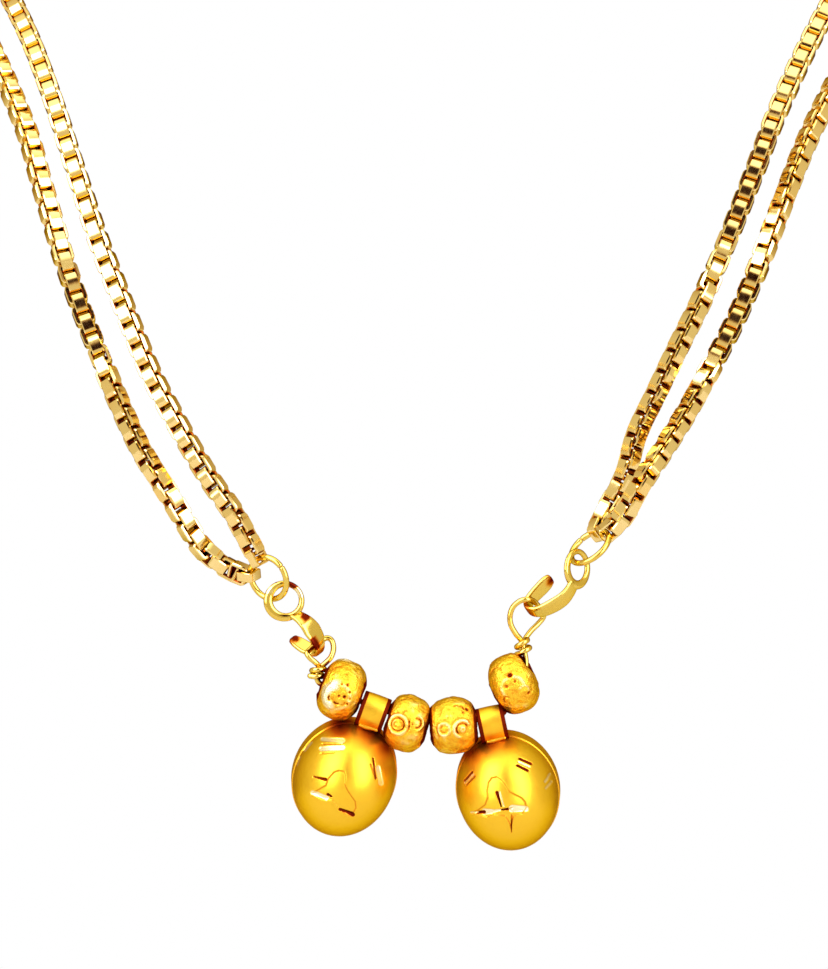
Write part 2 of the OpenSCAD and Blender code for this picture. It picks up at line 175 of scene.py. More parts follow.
class StageSettings(PropertyGroup):
    floor: colour("Floor", "Colour of the plain floor", (0.62, 0.6, 0.56))
    drop: length("Drop", "Height of the vatis above the floor", 35)
    radius: length("Radius", "Radius of the floor", 300)
    distance: length("Distance", "Distance from the camera to the beads", 3000)
    fill: FloatProperty(
        name="Fill", description="Brightness of the soft light from all sides", default=0.74, min=0
    )


class MangalsutraSettings(PropertyGroup):
    chain: PointerProperty(type=ChainSettings)
    ring: PointerProperty(type=RingSettings)
    hook: PointerProperty(type=HookSettings)
    wire: PointerProperty(type=WireSettings)
    bead: PointerProperty(type=BeadSettings)
    vati: PointerProperty(type=VatiSettings)
    gold: PointerProperty(type=GoldSettings)
    stage: PointerProperty(type=StageSettings)


# The points of smooth lines lie this far apart, in mm
STRAND_GAP = 0.5
WIRE_GAP = 0.12
STRIP_GAP = 0.1

# Places, in mm: close to the frame's own, and set where the photograph shows each piece

# A jump ring: its centre, its lean in the front view, the turn of its short way towards the viewer,
# and where the two strands' end links sit round it, all angles in degrees
RingPlace = namedtuple("RingPlace", "at lean turn outer inner")
RINGS = {
    "left": RingPlace((-15.65, FRONT_Y, -90.8), -62, 41, 240, 180),
    "right": RingPlace((16.5, FRONT_Y, -87.7), 38, 60, -6, -47),
}
# Where round a jump ring its two ends meet, in degrees
RING_SEAM = {"left": 100, "right": 265}
RING_STEPS = 120
RING_AROUND = 20
# Clearance between a jump ring's wire and the inside of an end link
LINK_PLAY = 0.14
END_LINK_SIZE = 2.0
END_LINK_WALL = 0.3
END_LINK_STRIP = 0.95
# An end link's corners as a share of the chain links' own, and the bevel as a share of its wall
END_LINK_CORNER = 0.9
END_LINK_BEVEL = 0.18
# Edges of an end link and of a chain link are sharp where they bend more than this, in degrees
END_LINK_CREASE = 38
LINK_CREASE = 40
# Bevel of a chain link's strip as a share of its thickness
LINK_BEVEL = 0.25
# A jump ring's ends are rounded by this share of the wire's radius
RING_END = 0.35

OUTER_ROUTE = [
    [-21.9, -115.6, -88.2], [-23.3, -116.4, -86.3],
    [-24.8, -117.0, -83.8], [-26.4, -116.8, -81.2], [-28.5, -116.2, -77.8],
    [-30.6, -115.2, -73.3], [-32.6, -113.8, -68.5], [-34.4, -112.2, -64.0],
    [-35.9, -110.5, -59.8], [-37.3, -108.5, -55.2], [-38.6, -106.5, -50.8],
    [-40.0, -104.0, -46.0], [-42.8, -98.8, -39.4], [-46.8, -90.5, -31.6],
    [-51.0, -79.5, -24.2], [-54.3, -65.0, -17.8], [-55.3, -48.5, -12.4],
    [-52.3, -31.5, -8.0], [-44.5, -16.8, -4.6], [-32.0, -6.2, -2.6],
    [-16.5, -0.6, -1.7], [0, 1.0, -1.5], [16.5, -0.6, -1.7],
    [32.0, -6.2, -2.6], [44.5, -16.8, -4.6], [52.3, -31.5, -8.0],
    [55.3, -48.5, -12.4], [54.3, -65.0, -17.8], [51.0, -79.5, -24.2],
    [46.5, -90.5, -31.6], [42.2, -98.8, -39.4], [38.9, -103.8, -45.8],
    [36.8, -106.5, -50.8], [34.9, -108.7, -55.8], [33.1, -110.5, -60.4],
    [31.0, -112.2, -65.2], [28.6, -113.8, -69.8], [26.2, -115.0, -74.2],
    [23.7, -116.6, -78.2], [21.6, -118.2, -81.4],
]
INNER_ROUTE = [
    [-19.2, -117.8, -84.2], [-21.2, -117.3, -81.4],
    [-23.4, -116.7, -77.8], [-25.4, -115.9, -74.2], [-27.4, -115.0, -70.4],
    [-29.3, -113.8, -65.8], [-31.0, -112.4, -61.4], [-32.7, -110.8, -57.0],
    [-34.3, -108.9, -52.2], [-35.8, -106.6, -47.6], [-37.3, -104.0, -43.0],
    [-40.0, -98.4, -36.0], [-44.0, -89.8, -28.2], [-48.2, -78.6, -20.8],
    [-51.5, -64.5, -14.4], [-52.5, -48.6, -9.0], [-49.6, -32.4, -4.6],
    [-42.2, -18.4, -1.2], [-30.4, -8.2, 0.7], [-15.6, -2.6, 1.5],
    [0, -1.0, 1.7], [15.6, -2.6, 1.5], [30.4, -8.2, 0.7],
    [42.2, -18.4, -1.2], [49.6, -32.4, -4.6], [52.5, -48.6, -9.0],
    [51.5, -64.5, -14.4], [48.2, -78.6, -20.8], [43.4, -89.8, -28.6],
    [38.9, -98.4, -36.6], [35.5, -104.0, -43.8], [33.4, -106.9, -49.2],
    [31.6, -109.0, -53.8], [29.8, -110.8, -58.2], [27.6, -112.6, -63.2],
    [25.4, -114.0, -67.6], [23.2, -114.8, -72.2], [21.2, -115.2, -76.4],
    [20.0, -115.6, -80.6],
]
# A strand leaves its end link in a straight line of this length
STRAIGHT_START = 0.6

# How each side of a strand is twisted: height, and the angle by which its front flats face right
Twist = namedtuple("Twist", "left right")
TWISTS = {
    "outer": Twist(
        [(-88, -62), (-82, -60), (-79, -42), (-71, -38), (-68.5, -4), (-63, 0), (-58.5, 8), (-55, 18)],
        [
            (-82, -45), (-73, -45), (-70.5, -25), (-68.5, 0), (-61, 0), (-57.5, -24),
            (-53.5, -28), (-51, -45),
        ],
    ),
    "inner": Twist(
        [(-84, -30), (-65, -27), (-59, -25), (-56, -18), (-46, -12)],
        [(-82, 45), (-63, 45), (-60.5, 14), (-56, 2), (-46, 0)],
    ),
}
# The heights between which a strand's twist stops following the front view
TWIST_FRONT = (-42, -28)
# The stretch from left to right over which the left side's twist gives way to the right side's
TWIST_SIDES = (-25, 13)
# The stretch of chain over which it turns to sit square to its end link
TWIST_END = 6.0
# How dark the inside of a link is, with painted shade and some grime
INSIDE_SHADE = 0.76

# A hook's eye and strip: centre, turn of the eye's plane, where the strip leaves the eye, direction
# away from straight down, roll about that direction, length, and where the eye's wire is widest
HookPlace = namedtuple("HookPlace", "at turn leave lean roll length widest")
HOOKS = {
    "left": HookPlace((-14.1, FRONT_Y, -93.1), 0, 38, 38, 36, 4.5, 210),
    "right": HookPlace((15.2, FRONT_Y, -89.9), 53, -22, -55, 53, 5.1, 240),
}
# Middle of the strip seen from its edge: sideways in mm, and share of its length from the eye
STRIP_ROUTES = {
    "left": [
        [0, 0], [-0.45, 0.14], [-0.75, 0.31], [-0.75, 0.51], [-0.5, 0.76], [0.0, 0.93],
        [0.7, 1.0], [1.3, 0.94], [1.8, 0.8], [2.3, 0.62], [2.8, 0.42],
    ],
    "right": [
        [0, 0], [-0.45, 0.14], [-0.75, 0.31], [-0.75, 0.51], [-0.5, 0.76], [0.0, 0.93],
        [0.7, 1.0], [1.35, 0.92], [1.65, 0.75], [1.9, 0.55], [2.2, 0.31],
    ],
}
# Share of the strip's length from the eye, and half its width there as a share of its widest
STRIP_TAPER = {
    "left": [
        (-0.1, 0.3), (0.12, 0.36), (0.31, 0.46), (0.51, 0.54), (0.75, 0.46), (0.93, 0.3), (1.1, 0.24),
    ],
    "right": [
        (-0.1, 0.42), (0.12, 0.46), (0.31, 0.52), (0.51, 0.55), (0.75, 0.51), (0.9, 0.44), (1.1, 0.4),
    ],
}
# How much a strip's end narrows, and over what length
TIP_NARROW = {"left": (0.45, 2.4), "right": (0.25, 0.6)}
# Spots of painted shade on a strip: the pixel of the photograph, radius in mm, and darkness
Spot = namedtuple("Spot", "at_px radius dark")
STRIP_SPOTS = {
    "left": [
        Spot((305.5, 616.5), 0.45, 0.9), Spot((292, 632), 0.5, 1.0), Spot((295.5, 639), 0.25, 0.9),
        Spot((313.5, 640), 0.3, 0.9), Spot((315.5, 645.5), 0.45, 1.0),
    ],
    "right": [],
}
# Spots of painted shade and painted highlight on a hook's eye
EYE_SPOTS = {
    "left": [
        Spot((294, 582.5), 0.58, 1.0), Spot((275, 581), 0.25, 0.9), Spot((300.5, 592), 0.55, -0.9),
        Spot((269, 590), 0.35, -0.8),
    ],
    "right": [],
}
# Radius in mm of the dark at a strip's tip
TIP_DARK = 0.75
# A strip has painted shade in its bend: from this share of its length, how dark, and over what share
BEND_SHADE_FROM = 0.93
BEND_SHADE = 0.5
BEND_SHADE_RUN = 0.05
# A strip starts this far inside the outside of its eye, in mm
STRIP_INSET = 0.375
EYE_STEPS = 96
EYE_AROUND = 20

# The bead wire's standing part at each end, the loop that goes up through the hook and back, and
# the way through bails and beads
STEM_LEFT = [[-10.64, -118.0, -99.68], [-10.8, -118.0, -100.7]]
STEM_RIGHT = [[9.62, -118.0, -97.05], [9.95, -118.0, -98.2]]
LOOP_LEFT = [
    [-10.95, -118.2, -99.25], [-11.5, -118.35, -98.8], [-11.8, -118.2, -98.3],
    [-11.5, -117.8, -97.95], [-11.0, -117.45, -97.55], [-10.4, -117.0, -97.1],
    [-9.8, -116.8, -96.8], [-9.3, -116.9, -97.1], [-9.15, -117.2, -97.9],
    [-9.4, -117.5, -98.7], [-9.9, -117.45, -99.25],
]
LOOP_RIGHT = [
    [9.1, -118.3, -96.4], [8.6, -118.5, -95.5], [8.5, -118.6, -94.6],
    [8.8, -118.7, -93.7], [9.5, -118.9, -93.1], [10.2, -118.95, -92.95],
    [10.85, -118.4, -93.1], [11.35, -117.6, -93.6], [11.75, -116.95, -94.05],
    [11.85, -116.5, -94.7], [11.3, -116.6, -95.4], [10.6, -117.0, -96.1],
]
WIRE_THROUGH = [
    [-10.55, -118.0, -101.3], [-9.7, -118.0, -101.7], [-8.2, -118.0, -102.2],
    [-6.2, -118.0, -103.25], [-5.0, -118.0, -103.68], [-3.75, -118.0, -104.15],
    [-1.7, -118.0, -104.8], [0.7, -118.0, -105.15], [3.0, -118.0, -105.15],
    [5.1, -118.0, -104.98], [6.4, -118.0, -104.7], [7.65, -118.0, -104.42],
    [8.15, -118.0, -103.7], [9.05, -118.0, -101.75], [9.9, -118.0, -100.2],
    [10.1, -118.0, -99.3],
]
# The wrapped wire lies just clear of the wire inside it, and its end sticks out this far
WRAP_PLAY = 0.06
WRAP_START = {"left": 200, "right": 220}
STUB = 0.2
STUB_TURN = 40
# The wire carries painted shade below this height, where it runs through beads and bails
THREADED_BELOW = -101.4

# A bead: centre, slope of its own axis, slope of its hole, how far the hole's upper end is tipped
# towards the viewer, how far from the hole's middle the right and the left end carry painted shade,
# and the names of its length and diameter among the bead settings
BeadPlace = namedtuple("BeadPlace", "at slope hole_slope hole_tip end_dark long wide")
BEADS = {
    "bead_outer_left": BeadPlace(
        (-8.33, FRONT_Y - 0.1, -102.02), -20, -22, 0, (2.1, 2.1),
        "outer_left_length", "outer_diameter",
    ),
    "bead_inner_left": BeadPlace(
        (-1.76, FRONT_Y - 0.25, -105.33), -18, -14, 0, (2.1, 2.1),
        "inner_left_length", "inner_diameter",
    ),
    "bead_inner_right": BeadPlace(
        (2.83, FRONT_Y - 0.35, -105.55), 8, 2, 0, (2.1, 2.1),
        "inner_right_length", "inner_diameter",
    ),
    "bead_outer_right": BeadPlace(
        (8.86, FRONT_Y, -101.36), 20, 55, 12, (1.45, 2.1),
        "outer_right_length", "outer_diameter",
    ),
}
# How full the beads' shoulders are: 2 is a plain ellipsoid
BEAD_FULL = 2.5
# Stamped marks. A ring has a radius and a dot has none; both sit at a pixel of the photograph. Deep
# is their depth as a share of the stamp's, below 0 where they stand up, and dark is how dark the
# metal is there; below 0 it is a painted highlight. Arc is the stretch of a ring that is struck: the
# angle of its middle from the right, and half of what it spans, in degrees.
Stamp = namedtuple("Stamp", "at_px radius wide deep dark arc", defaults=[(0, 180)])
STAMPS = {
    "bead_outer_left": [
        Stamp((337, 697), 1.2, 0.8, -0.3, -1.1, (165, 95)), Stamp((337, 697), 1.3, 0.3, -0.3, -0.3),
        Stamp((337, 700), 0.42, 0.2, 1.0, 1.0, (255, 55)),
        Stamp((331, 698), 0.3, 0.16, 0.8, 0.6, (180, 80)),
        Stamp((339, 696), 0, 0.26, 0.8, 0.75), Stamp((344.5, 696.8), 0, 0.34, 1.0, 0.9),
        Stamp((342, 684), 0, 0.24, 0.8, 0.6), Stamp((347.7, 684.8), 0, 0.3, 0.8, 0.75),
        Stamp((349.6, 692), 0, 0.26, 0.8, 0.7), Stamp((349.6, 698.6), 0, 0.22, 0.8, 0.6),
        Stamp((347, 703.4), 0, 0.26, 0.8, 0.7), Stamp((342, 702), 0.3, 0.14, 0.7, 0.5, (300, 70)),
    ],
    "bead_inner_left": [
        Stamp((397.5, 724.4), 1.0, 0.24, -0.5, -0.5), Stamp((397.5, 724.4), 0.68, 0.13, 1.0, 0.6),
        Stamp((396.6, 724.4), 0.24, 0.12, 0.8, 0.45, (180, 110)),
        Stamp((399.2, 724.8), 0.3, 0.12, 0.8, 0.4, (0, 60)),
        Stamp((397.5, 724.4), 1.22, 0.12, 0.5, 0.35, (60, 110)),
        Stamp((416.6, 723), 0.5, 0.15, 1.0, 0.75, (0, 120)), Stamp((412.6, 724.4), 0, 0.2, 0.8, 0.6),
        Stamp((409.6, 721.4), 0, 0.18, 0.8, 0.5), Stamp((406.7, 714), 0.35, 0.14, 0.8, 0.5, (120, 60)),
        Stamp((409.2, 726.6), 0, 0.22, 0.7, 0.45),
        Stamp((416.6, 723), 0.74, 0.16, -0.4, -0.35, (0, 90)),
    ],
    "bead_inner_right": [
        Stamp((462.5, 729), 0.86, 0.26, -0.5, -0.55, (150, 130)),
        Stamp((462.5, 729), 0.6, 0.14, 1.0, 0.65, (130, 120)),
        Stamp((462.8, 729.4), 0.2, 0.2, -0.5, -0.5),
        Stamp((462.5, 729), 1.14, 0.12, 0.5, 0.3, (110, 80)),
        Stamp((444, 729.5), 0.62, 0.24, -0.5, -0.4),
        Stamp((444, 729.5), 0.36, 0.14, 0.9, 0.4, (200, 100)),
        Stamp((444, 729.5), 0.92, 0.14, 0.5, 0.3, (120, 80)),
        Stamp((456.6, 706.6), 0.24, 0.16, 0.9, 0.6, (100, 90)),
        Stamp((460.6, 708.2), 0.3, 0.16, 0.9, 0.6, (60, 90)), Stamp((466.4, 709.8), 0, 0.4, 0.9, 0.75),
        Stamp((463, 712.4), 0, 0.22, 0.8, 0.5), Stamp((447, 716), 0, 0.31, -0.5, -0.35),
    ],
    "bead_outer_right": [
        Stamp((510, 675), 0, 0.5, 1.0, 0.9), Stamp((514.9, 681.2), 0, 0.31, 0.9, 0.6),
        Stamp((506.4, 686.5), 0, 0.31, 0.9, 0.5), Stamp((507.7, 700), 0.42, 0.16, 0.9, 0.4, (160, 110)),
        Stamp((513, 688), 1.15, 0.3, -0.35, -0.4, (120, 120)), Stamp((528.3, 692.3), 0, 0.37, 0.9, 0.6),
        Stamp((524, 690), 0.5, 0.18, -0.4, -0.35, (60, 120)),
        Stamp((508, 711), 0.9, 0.2, 0.5, 0.25, (60, 80)),
    ],
}
# The die's pattern comes round this often
STAMP_REPEATS = 3

# A vati: middle of its bail, slope of the wire there, how its cup is shifted, leans and is turned
VatiPlace = namedtuple("VatiPlace", "at slope shift lean turn")
VATIS = {
    "left": VatiPlace((-5.2, FRONT_Y, -104.2), -20, (-0.15, 0, -0.2), 0, 8),
    "right": VatiPlace((6.7, FRONT_Y, -105.4), 12, (-0.08, -0.05, 0.05), 0, -6),
}
# How far a cup's tip is turned down from the viewer, and where the top of its mouth is from the
# middle of the bail
CUP_TILT = 17
MOUTH_TOP = (0, 2.17, -0.7)
# The solder: its middle from the bail's, its share of the bail's length, its half thickness and how
# dark it is
SOLDER_AT = (0.1, -0.9, -1.62)
SOLDER_SHARE = 0.6
SOLDER_THICK = 0.24
SOLDER_DARK = 0.12
# Rounding of the bail's edges, the stretch of painted shade at both its ends, and how far its middle
# stands up
BAIL_EDGE = 0.1
BAIL_SEAM = 0.37
BAIL_CROWN = 0.03
BAIL_AROUND = 96
# Engraved cuts: the pixels of the photograph that each runs between, its width in mm at both ends
# and how dark its patina and painted shade are, below 0 where a painted highlight of fresh metal is
# bright
Cut = namedtuple("Cut", "start end wide_start wide_end dark")
CUTS = {
    "left": [
        Cut((313.5, 776.4), (325.5, 779.2), 0.14, 0.34, 0.85),
        Cut((312.6, 792.4), (326.5, 798.0), 0.42, 0.42, -1.0),
        Cut((327.5, 794.4), (331.0, 796.4), 0.3, 0.2, 0.9),
        Cut((339.6, 809.2), (353.0, 814.4), 0.2, 0.4, 1.0),
        Cut((322.5, 739.0), (342.5, 740.5), 0.36, 0.5, -1.0),
        Cut((321.5, 748.6), (342.5, 747.6), 0.42, 0.5, -1.0),
        Cut((322.0, 743.6), (342.0, 743.4), 0.12, 0.12, 0.5),
        Cut((321.0, 753.0), (334.0, 752.2), 0.12, 0.12, 0.4),
        Cut((373.3, 758.0), (376.0, 778.0), 0.16, 0.26, 0.8),
        Cut((371.0, 764.0), (374.5, 774.0), 0.16, 0.16, 0.45),
        Cut((378.0, 767.0), (381.0, 783.0), 0.4, 0.5, -1.0),
        Cut((304.6, 750.0), (311.5, 742.5), 0.3, 0.2, -0.7),
        Cut((297.0, 765.0), (300.0, 757.0), 0.2, 0.2, -0.4),
    ],
    "right": [
        Cut((496.6, 792.2), (500.8, 806.4), 0.34, 0.16, 1.0),
        Cut((500.6, 809.8), (511.8, 808.6), 0.14, 0.34, 1.0),
        Cut((512.4, 808.4), (526.0, 808.4), 0.72, 0.5, -1.0),
        Cut((493.0, 811.0), (499.5, 809.8), 0.3, 0.2, -0.8),
        Cut((484.0, 811.8), (491.0, 811.4), 0.62, 0.45, -1.0),
        Cut((475.4, 812.4), (483.0, 812.2), 0.2, 0.4, 1.0),
        Cut((471.0, 812.2), (475.5, 812.2), 0.14, 0.26, -0.8),
        Cut((499.3, 791.5), (503.4, 805.6), 0.2, 0.16, -0.7),
        Cut((511.7, 815.5), (511.4, 832.5), 0.16, 0.1, 0.25),
        Cut((519.6, 758.4), (531.0, 763.4), 0.24, 0.26, 1.0),
        Cut((517.2, 765.0), (527.8, 770.2), 0.24, 0.26, 1.0),
        Cut((518.6, 761.8), (529.0, 766.6), 0.2, 0.2, -0.7),
        Cut((464.4, 780.4), (472.0, 771.8), 0.2, 0.22, 0.8),
        Cut((466.2, 784.0), (474.2, 776.2), 0.2, 0.22, 0.6),
        Cut((465.0, 782.5), (473.2, 774.0), 0.2, 0.2, -0.8),
        Cut((545.2, 781.4), (549.8, 774.0), 0.24, 0.24, -0.6),
        Cut((546.0, 788.0), (551.5, 781.5), 0.24, 0.24, -0.45),
    ],
}
# Outlines of the sunk stars, in pixels of the photograph
STARS = {
    "left": [
        (327.5, 777.5), (333.7, 770.7), (338.9, 769.0), (345.0, 770.3), (346.7, 775.9),
        (345.8, 783.7), (348.0, 788.9), (351.9, 795.0), (356.3, 801.0), (357.0, 808.0),
        (352.0, 817.0), (345.0, 815.0), (338.5, 809.0), (332.0, 801.0), (321.0, 799.5),
        (310.5, 793.0), (318.0, 788.5), (325.0, 784.5),
    ],
    "right": [
        (486.0, 790.0), (487.3, 781.8), (490.8, 776.6), (496.8, 775.3), (502.0, 778.8),
        (506.4, 784.4), (509.8, 790.5), (515.9, 793.6), (522.0, 796.6), (525.9, 800.9),
        (527.6, 808.0), (523.0, 814.0), (514.5, 816.0), (512.4, 824.0), (511.5, 834.0),
        (509.0, 824.0), (505.0, 816.5), (494.0, 815.0), (487.0, 818.0), (479.0, 815.5),
        (470.5, 812.3), (478.0, 808.5), (484.0, 804.0), (486.5, 797.0),
    ],
}
# Where painted shadow darkens a cup beside its bail and the beads: pixel, radius in mm and darkness
SHADES = {
    "left": [
        Spot((371, 731), 2.6, 0.75), Spot((340, 726), 2.2, 0.9), Spot((386, 748), 2.3, 0.6),
        Spot((391, 768), 1.2, 0.3),
    ],
    "right": [
        Spot((489, 741), 2.4, 0.75), Spot((466, 752), 2.3, 0.7), Spot((503, 737), 1.8, 0.5),
    ],
}
# Depth of a bright facet as a share of the cut depth
FACET_DEPTH = 0.35
# The sunk stars: depth in mm, darkness of the painted shade along the outline, and width of the slope
# at their edge in mm
STAR_DEPTH = 0.12
STAR_OUTLINE_SHADE = 0.42
STAR_EDGE = 0.17


# Node trees

class Tree:
    """A node tree that grows by one call for each node."""

    def __init__(self, tree):
        self.tree = tree
        tree.nodes.clear()

    def node(self, kind, settings=None, sockets=None):
        """Adds a node: its settings come first, then its sockets' values or links."""
        node = self.tree.nodes.new(kind)
        for name, value in (settings or {}).items():
            if name == "stops":
                self.set_stops(node.color_ramp, value)
            else:
                setattr(node, name, value)
        for key, value in (sockets or {}).items():
            socket = node.inputs[key]
            if isinstance(value, Value):
                self.tree.links.new(value.socket, socket)
            else:
                socket.default_value = value
        return node

    def value(self, kind, settings=None, sockets=None, output=0):
        """Adds a node and gives one of its outputs for use in expressions."""
        return Value(self, self.node(kind, settings, sockets).outputs[output])

    def set_stops(self, ramp, stops):
        while len(ramp.elements) < len(stops):
            ramp.elements.new(1)
        for element, (place, tone) in zip(ramp.elements, stops):
            element.position = place
            element.color = (*tone, 1)

    def mix(self, factor, first, second, blend="MIX"):
        """A colour between two colours, each a socket or three numbers."""
        first, second = (c if isinstance(c, Value) else (*c, 1) for c in (first, second))
        settings = {"data_type": "RGBA", "blend_type": blend}
        return self.value("ShaderNodeMix", settings, {0: factor, 6: first, 7: second}, 2)

    def dot(self, first, second):
        """The dot product of two vectors, each a socket or three numbers."""
        settings = {"operation": "DOT_PRODUCT"}
        return self.value("ShaderNodeVectorMath", settings, {0: first, 1: second}, "Value")

    def bump(self, strength, distance, height):
        """The normal of a surface that stands up by a height."""
        sockets = {"Strength": strength, "Distance": distance, "Height": height}
        return self.value("ShaderNodeBump", sockets=sockets, output="Normal")


class Value:
    """An output socket in Python expressions; each operation adds its Math node."""

    def __init__(self, tree, socket):
        self.tree = tree
        self.socket = socket

    def maths(self, operation, *values, clamp=False):
        settings = {"operation": operation, "use_clamp": clamp}
        return self.tree.value("ShaderNodeMath", settings, dict(enumerate(values)))

    def __add__(self, other):
        return self.maths("ADD", self, other)

    def __radd__(self, other):
        return self.maths("ADD", other, self)

    def __sub__(self, other):
        return self.maths("SUBTRACT", self, other)

    def __rsub__(self, other):
        return self.maths("SUBTRACT", other, self)

    def __mul__(self, other):
        return self.maths("MULTIPLY", self, other)

    def __rmul__(self, other):
        return self.maths("MULTIPLY", other, self)

    def __truediv__(self, other):
        return self.maths("DIVIDE", self, other)

    def __abs__(self):
        return self.maths("ABSOLUTE", self)

    def clamped(self):
        return self.maths("ADD", self, 0.0, clamp=True)


# Materials

# Widths in mm of the metal's slow changes of tone and of its hairline scratches, and how those are
# stretched and turned
CLOUD_SIZE = 4.5
SCRATCH_SIZE = 0.12
SCRATCH_STRETCH = (0.25, 1, 1)
SCRATCH_WAY = (0.3, 0.8, 0.5)
# How much of the deep tone the patches take, and how much duller metal is in its dark cuts
DEEP_SHARE = 0.35
CUT_ROUGH = 0.25


def gold_material(name, colour, roughness, grain_size, grain_depth, scratch_depth, mottle=0.0):
    """Gold with slow changes of tone, fine grain and hairline scratches; its cut attribute darkens it
    with patina and painted shade and lightens it with fresh metal and painted highlights.
    """
    gold = bpy.context.scene.mangalsutra.gold
    material = bpy.data.materials.new(name)
    material.use_nodes = True
    tree = Tree(material.node_tree)
    place = tree.value("ShaderNodeTexCoord", output="Object")
    cloud = noise(tree, place, CLOUD_SIZE, detail=3)
    grain = noise(tree, place, grain_size, detail=4)
    stretched = tree.value("ShaderNodeMapping", sockets={
        "Vector": place, "Scale": SCRATCH_STRETCH, "Rotation": SCRATCH_WAY,
    })
    scratch = noise(tree, stretched, SCRATCH_SIZE, detail=2)
    # The cut attribute: above 0 patina and painted shade, below 0 fresh metal and painted highlights
    cut = tree.value("ShaderNodeAttribute", {"attribute_name": "cut"}, output="Fac")
    dark, bright = cut.clamped(), (0 - cut).clamped()

    deep_patches = ((cloud - 0.45) * 3).clamped() * DEEP_SHARE
    tone = tree.mix(deep_patches, tuple(colour), tuple(gold.deep))
    hollows = ((0.5 - grain) * 5).clamped() * mottle
    tone = tree.mix(hollows, tone, tuple(gold.burnt_and_shade))
    tone = tree.mix(bright, tone, tuple(gold.fresh_and_highlight))
    # The dark tone runs from burnt gold to grime, for patina and painted shade alike
    shade_and_grime_tone = tree.mix(((dark - 0.3) * 1.7).clamped(), tuple(gold.burnt_and_shade), tuple(gold.grime_and_shade))
    tone = tree.mix((dark * 1.8).clamped(), tone, shade_and_grime_tone)
    height = grain * grain_depth + scratch * scratch_depth
    bump = tree.bump(1.0, MM, height)
    rough = roughness + (grain - 0.5) * 0.12 + (cloud - 0.5) * 0.1 + dark * CUT_ROUGH
    shader = tree.value("ShaderNodeBsdfPrincipled", sockets={
        "Base Color": tone, "Metallic": 1.0, "Roughness": rough, "Normal": bump,
        "Specular Tint": (*gold.edge, 1),
    })
    tree.node("ShaderNodeOutputMaterial", sockets={"Surface": shader})
    return material


def noise(tree, place, size_mm, detail):
    """Noise whose patches are about this many millimetres across."""
    sockets = {"Vector": place, "Scale": 1 / (size_mm * MM), "Detail": detail, "Roughness": 0.55}
    return tree.value("ShaderNodeTexNoise", sockets=sockets)


def chain_gold():
    gold = bpy.context.scene.mangalsutra.gold
    return gold_material(
        "polished box-chain gold", gold.pale, gold.polish,
        grain_size=0.3, grain_depth=0.002, scratch_depth=0.001,
    )


def wire_gold():
    gold = bpy.context.scene.mangalsutra.gold
    return gold_material(
        "drawn wire gold", gold.drawn, gold.polish,
        grain_size=0.6, grain_depth=0.002, scratch_depth=0.001,
    )


def bead_gold():
    gold = bpy.context.scene.mangalsutra.gold
    return gold_material(
        "stamped satin gold", gold.gold, gold.satin,
        grain_size=0.34, grain_depth=0.13, scratch_depth=0.01, mottle=0.5,
    )


def cup_gold():
    gold = bpy.context.scene.mangalsutra.gold
    return gold_material(
        "burnished cup gold", gold.gold, gold.cup_polish,
        grain_size=0.5, grain_depth=0.006, scratch_depth=0.004, mottle=0.06,
    )


def floor_paper():
    """A plain pale sheet with a faint tooth."""
    stage = bpy.context.scene.mangalsutra.stage
    material = bpy.data.materials.new("pale floor")
    material.use_nodes = True
    tree = Tree(material.node_tree)
    place = tree.value("ShaderNodeTexCoord", output="Object")
    tooth = noise(tree, place, 1.5, detail=3)
    pale = tuple(stage.floor)
    tone = tree.mix(tooth, tuple(0.97 * c for c in pale), pale)
    bump = tree.bump(0.3, 0.05 * MM, tooth)
    sockets = {"Base Color": tone, "Roughness": 0.8, "Normal": bump}
    shader = tree.value("ShaderNodeBsdfPrincipled", sockets=sockets)
    tree.node("ShaderNodeOutputMaterial", sockets={"Surface": shader})
    return material


# Lines and directions

def unit(vectors):
    return vectors / np.linalg.norm(vectors, axis=-1, keepdims=True)


def across(vectors, axis):
    """What is left of vectors once their share along a unit axis is taken off."""
    return vectors - np.sum(vectors * axis, axis=-1, keepdims=True) * axis


def smooth_line(route, gap):
    """A smooth line through a route's points, with a point about every gap."""
    route = np.array(route, float)
    last = len(route) - 1
    stretches = []
    for i in range(last):
        a, b, c, d = route[max(i - 1, 0)], route[i], route[i + 1], route[min(i + 2, last)]
        steps = max(1, round(np.linalg.norm(c - b) / gap))
        t = np.arange(steps)[:, None] / steps
        curve = 2 * b + (c - a) * t + (2 * a - 5 * b + 4 * c - d) * t**2
        curve = curve + (3 * b - a - 3 * c + d) * t**3
        stretches.append(curve / 2)
    return np.vstack(stretches + [route[-1:]])


def round_angles(count):
    """The angles of points evenly round a circle."""
    return np.arange(count) * 2 * math.pi / count


def headings(line):
    return unit(np.gradient(line, axis=0))


def sides_from(line, first):
    """Side directions that turn as little as possible from each point to the next."""
    along = headings(line)
    sides = [unit(across(np.array(first, float), along[0]))]
    for direction in along[1:]:
        sides.append(unit(across(sides[-1], direction)))
    return np.array(sides)


def run_length(line):
    """Distance along a line from its start to each of its points."""
    return np.concatenate([[0], np.cumsum(np.linalg.norm(np.diff(line, axis=0), axis=1))])


def px_to_mm(px):
    """Where a pixel of the photograph lies in the front view: across and up."""
    return np.array([(px[0] - ZERO_PX[0]) / PX_PER_MM, (ZERO_PX[1] - px[1]) / PX_PER_MM])


# Meshes: a shell is a closed surface, with points in mm, faces, and how dark each point's cut is
# The cut holds patina and painted shade, and below 0 fresh metal with painted highlights

Shell = namedtuple("Shell", "points faces cut")


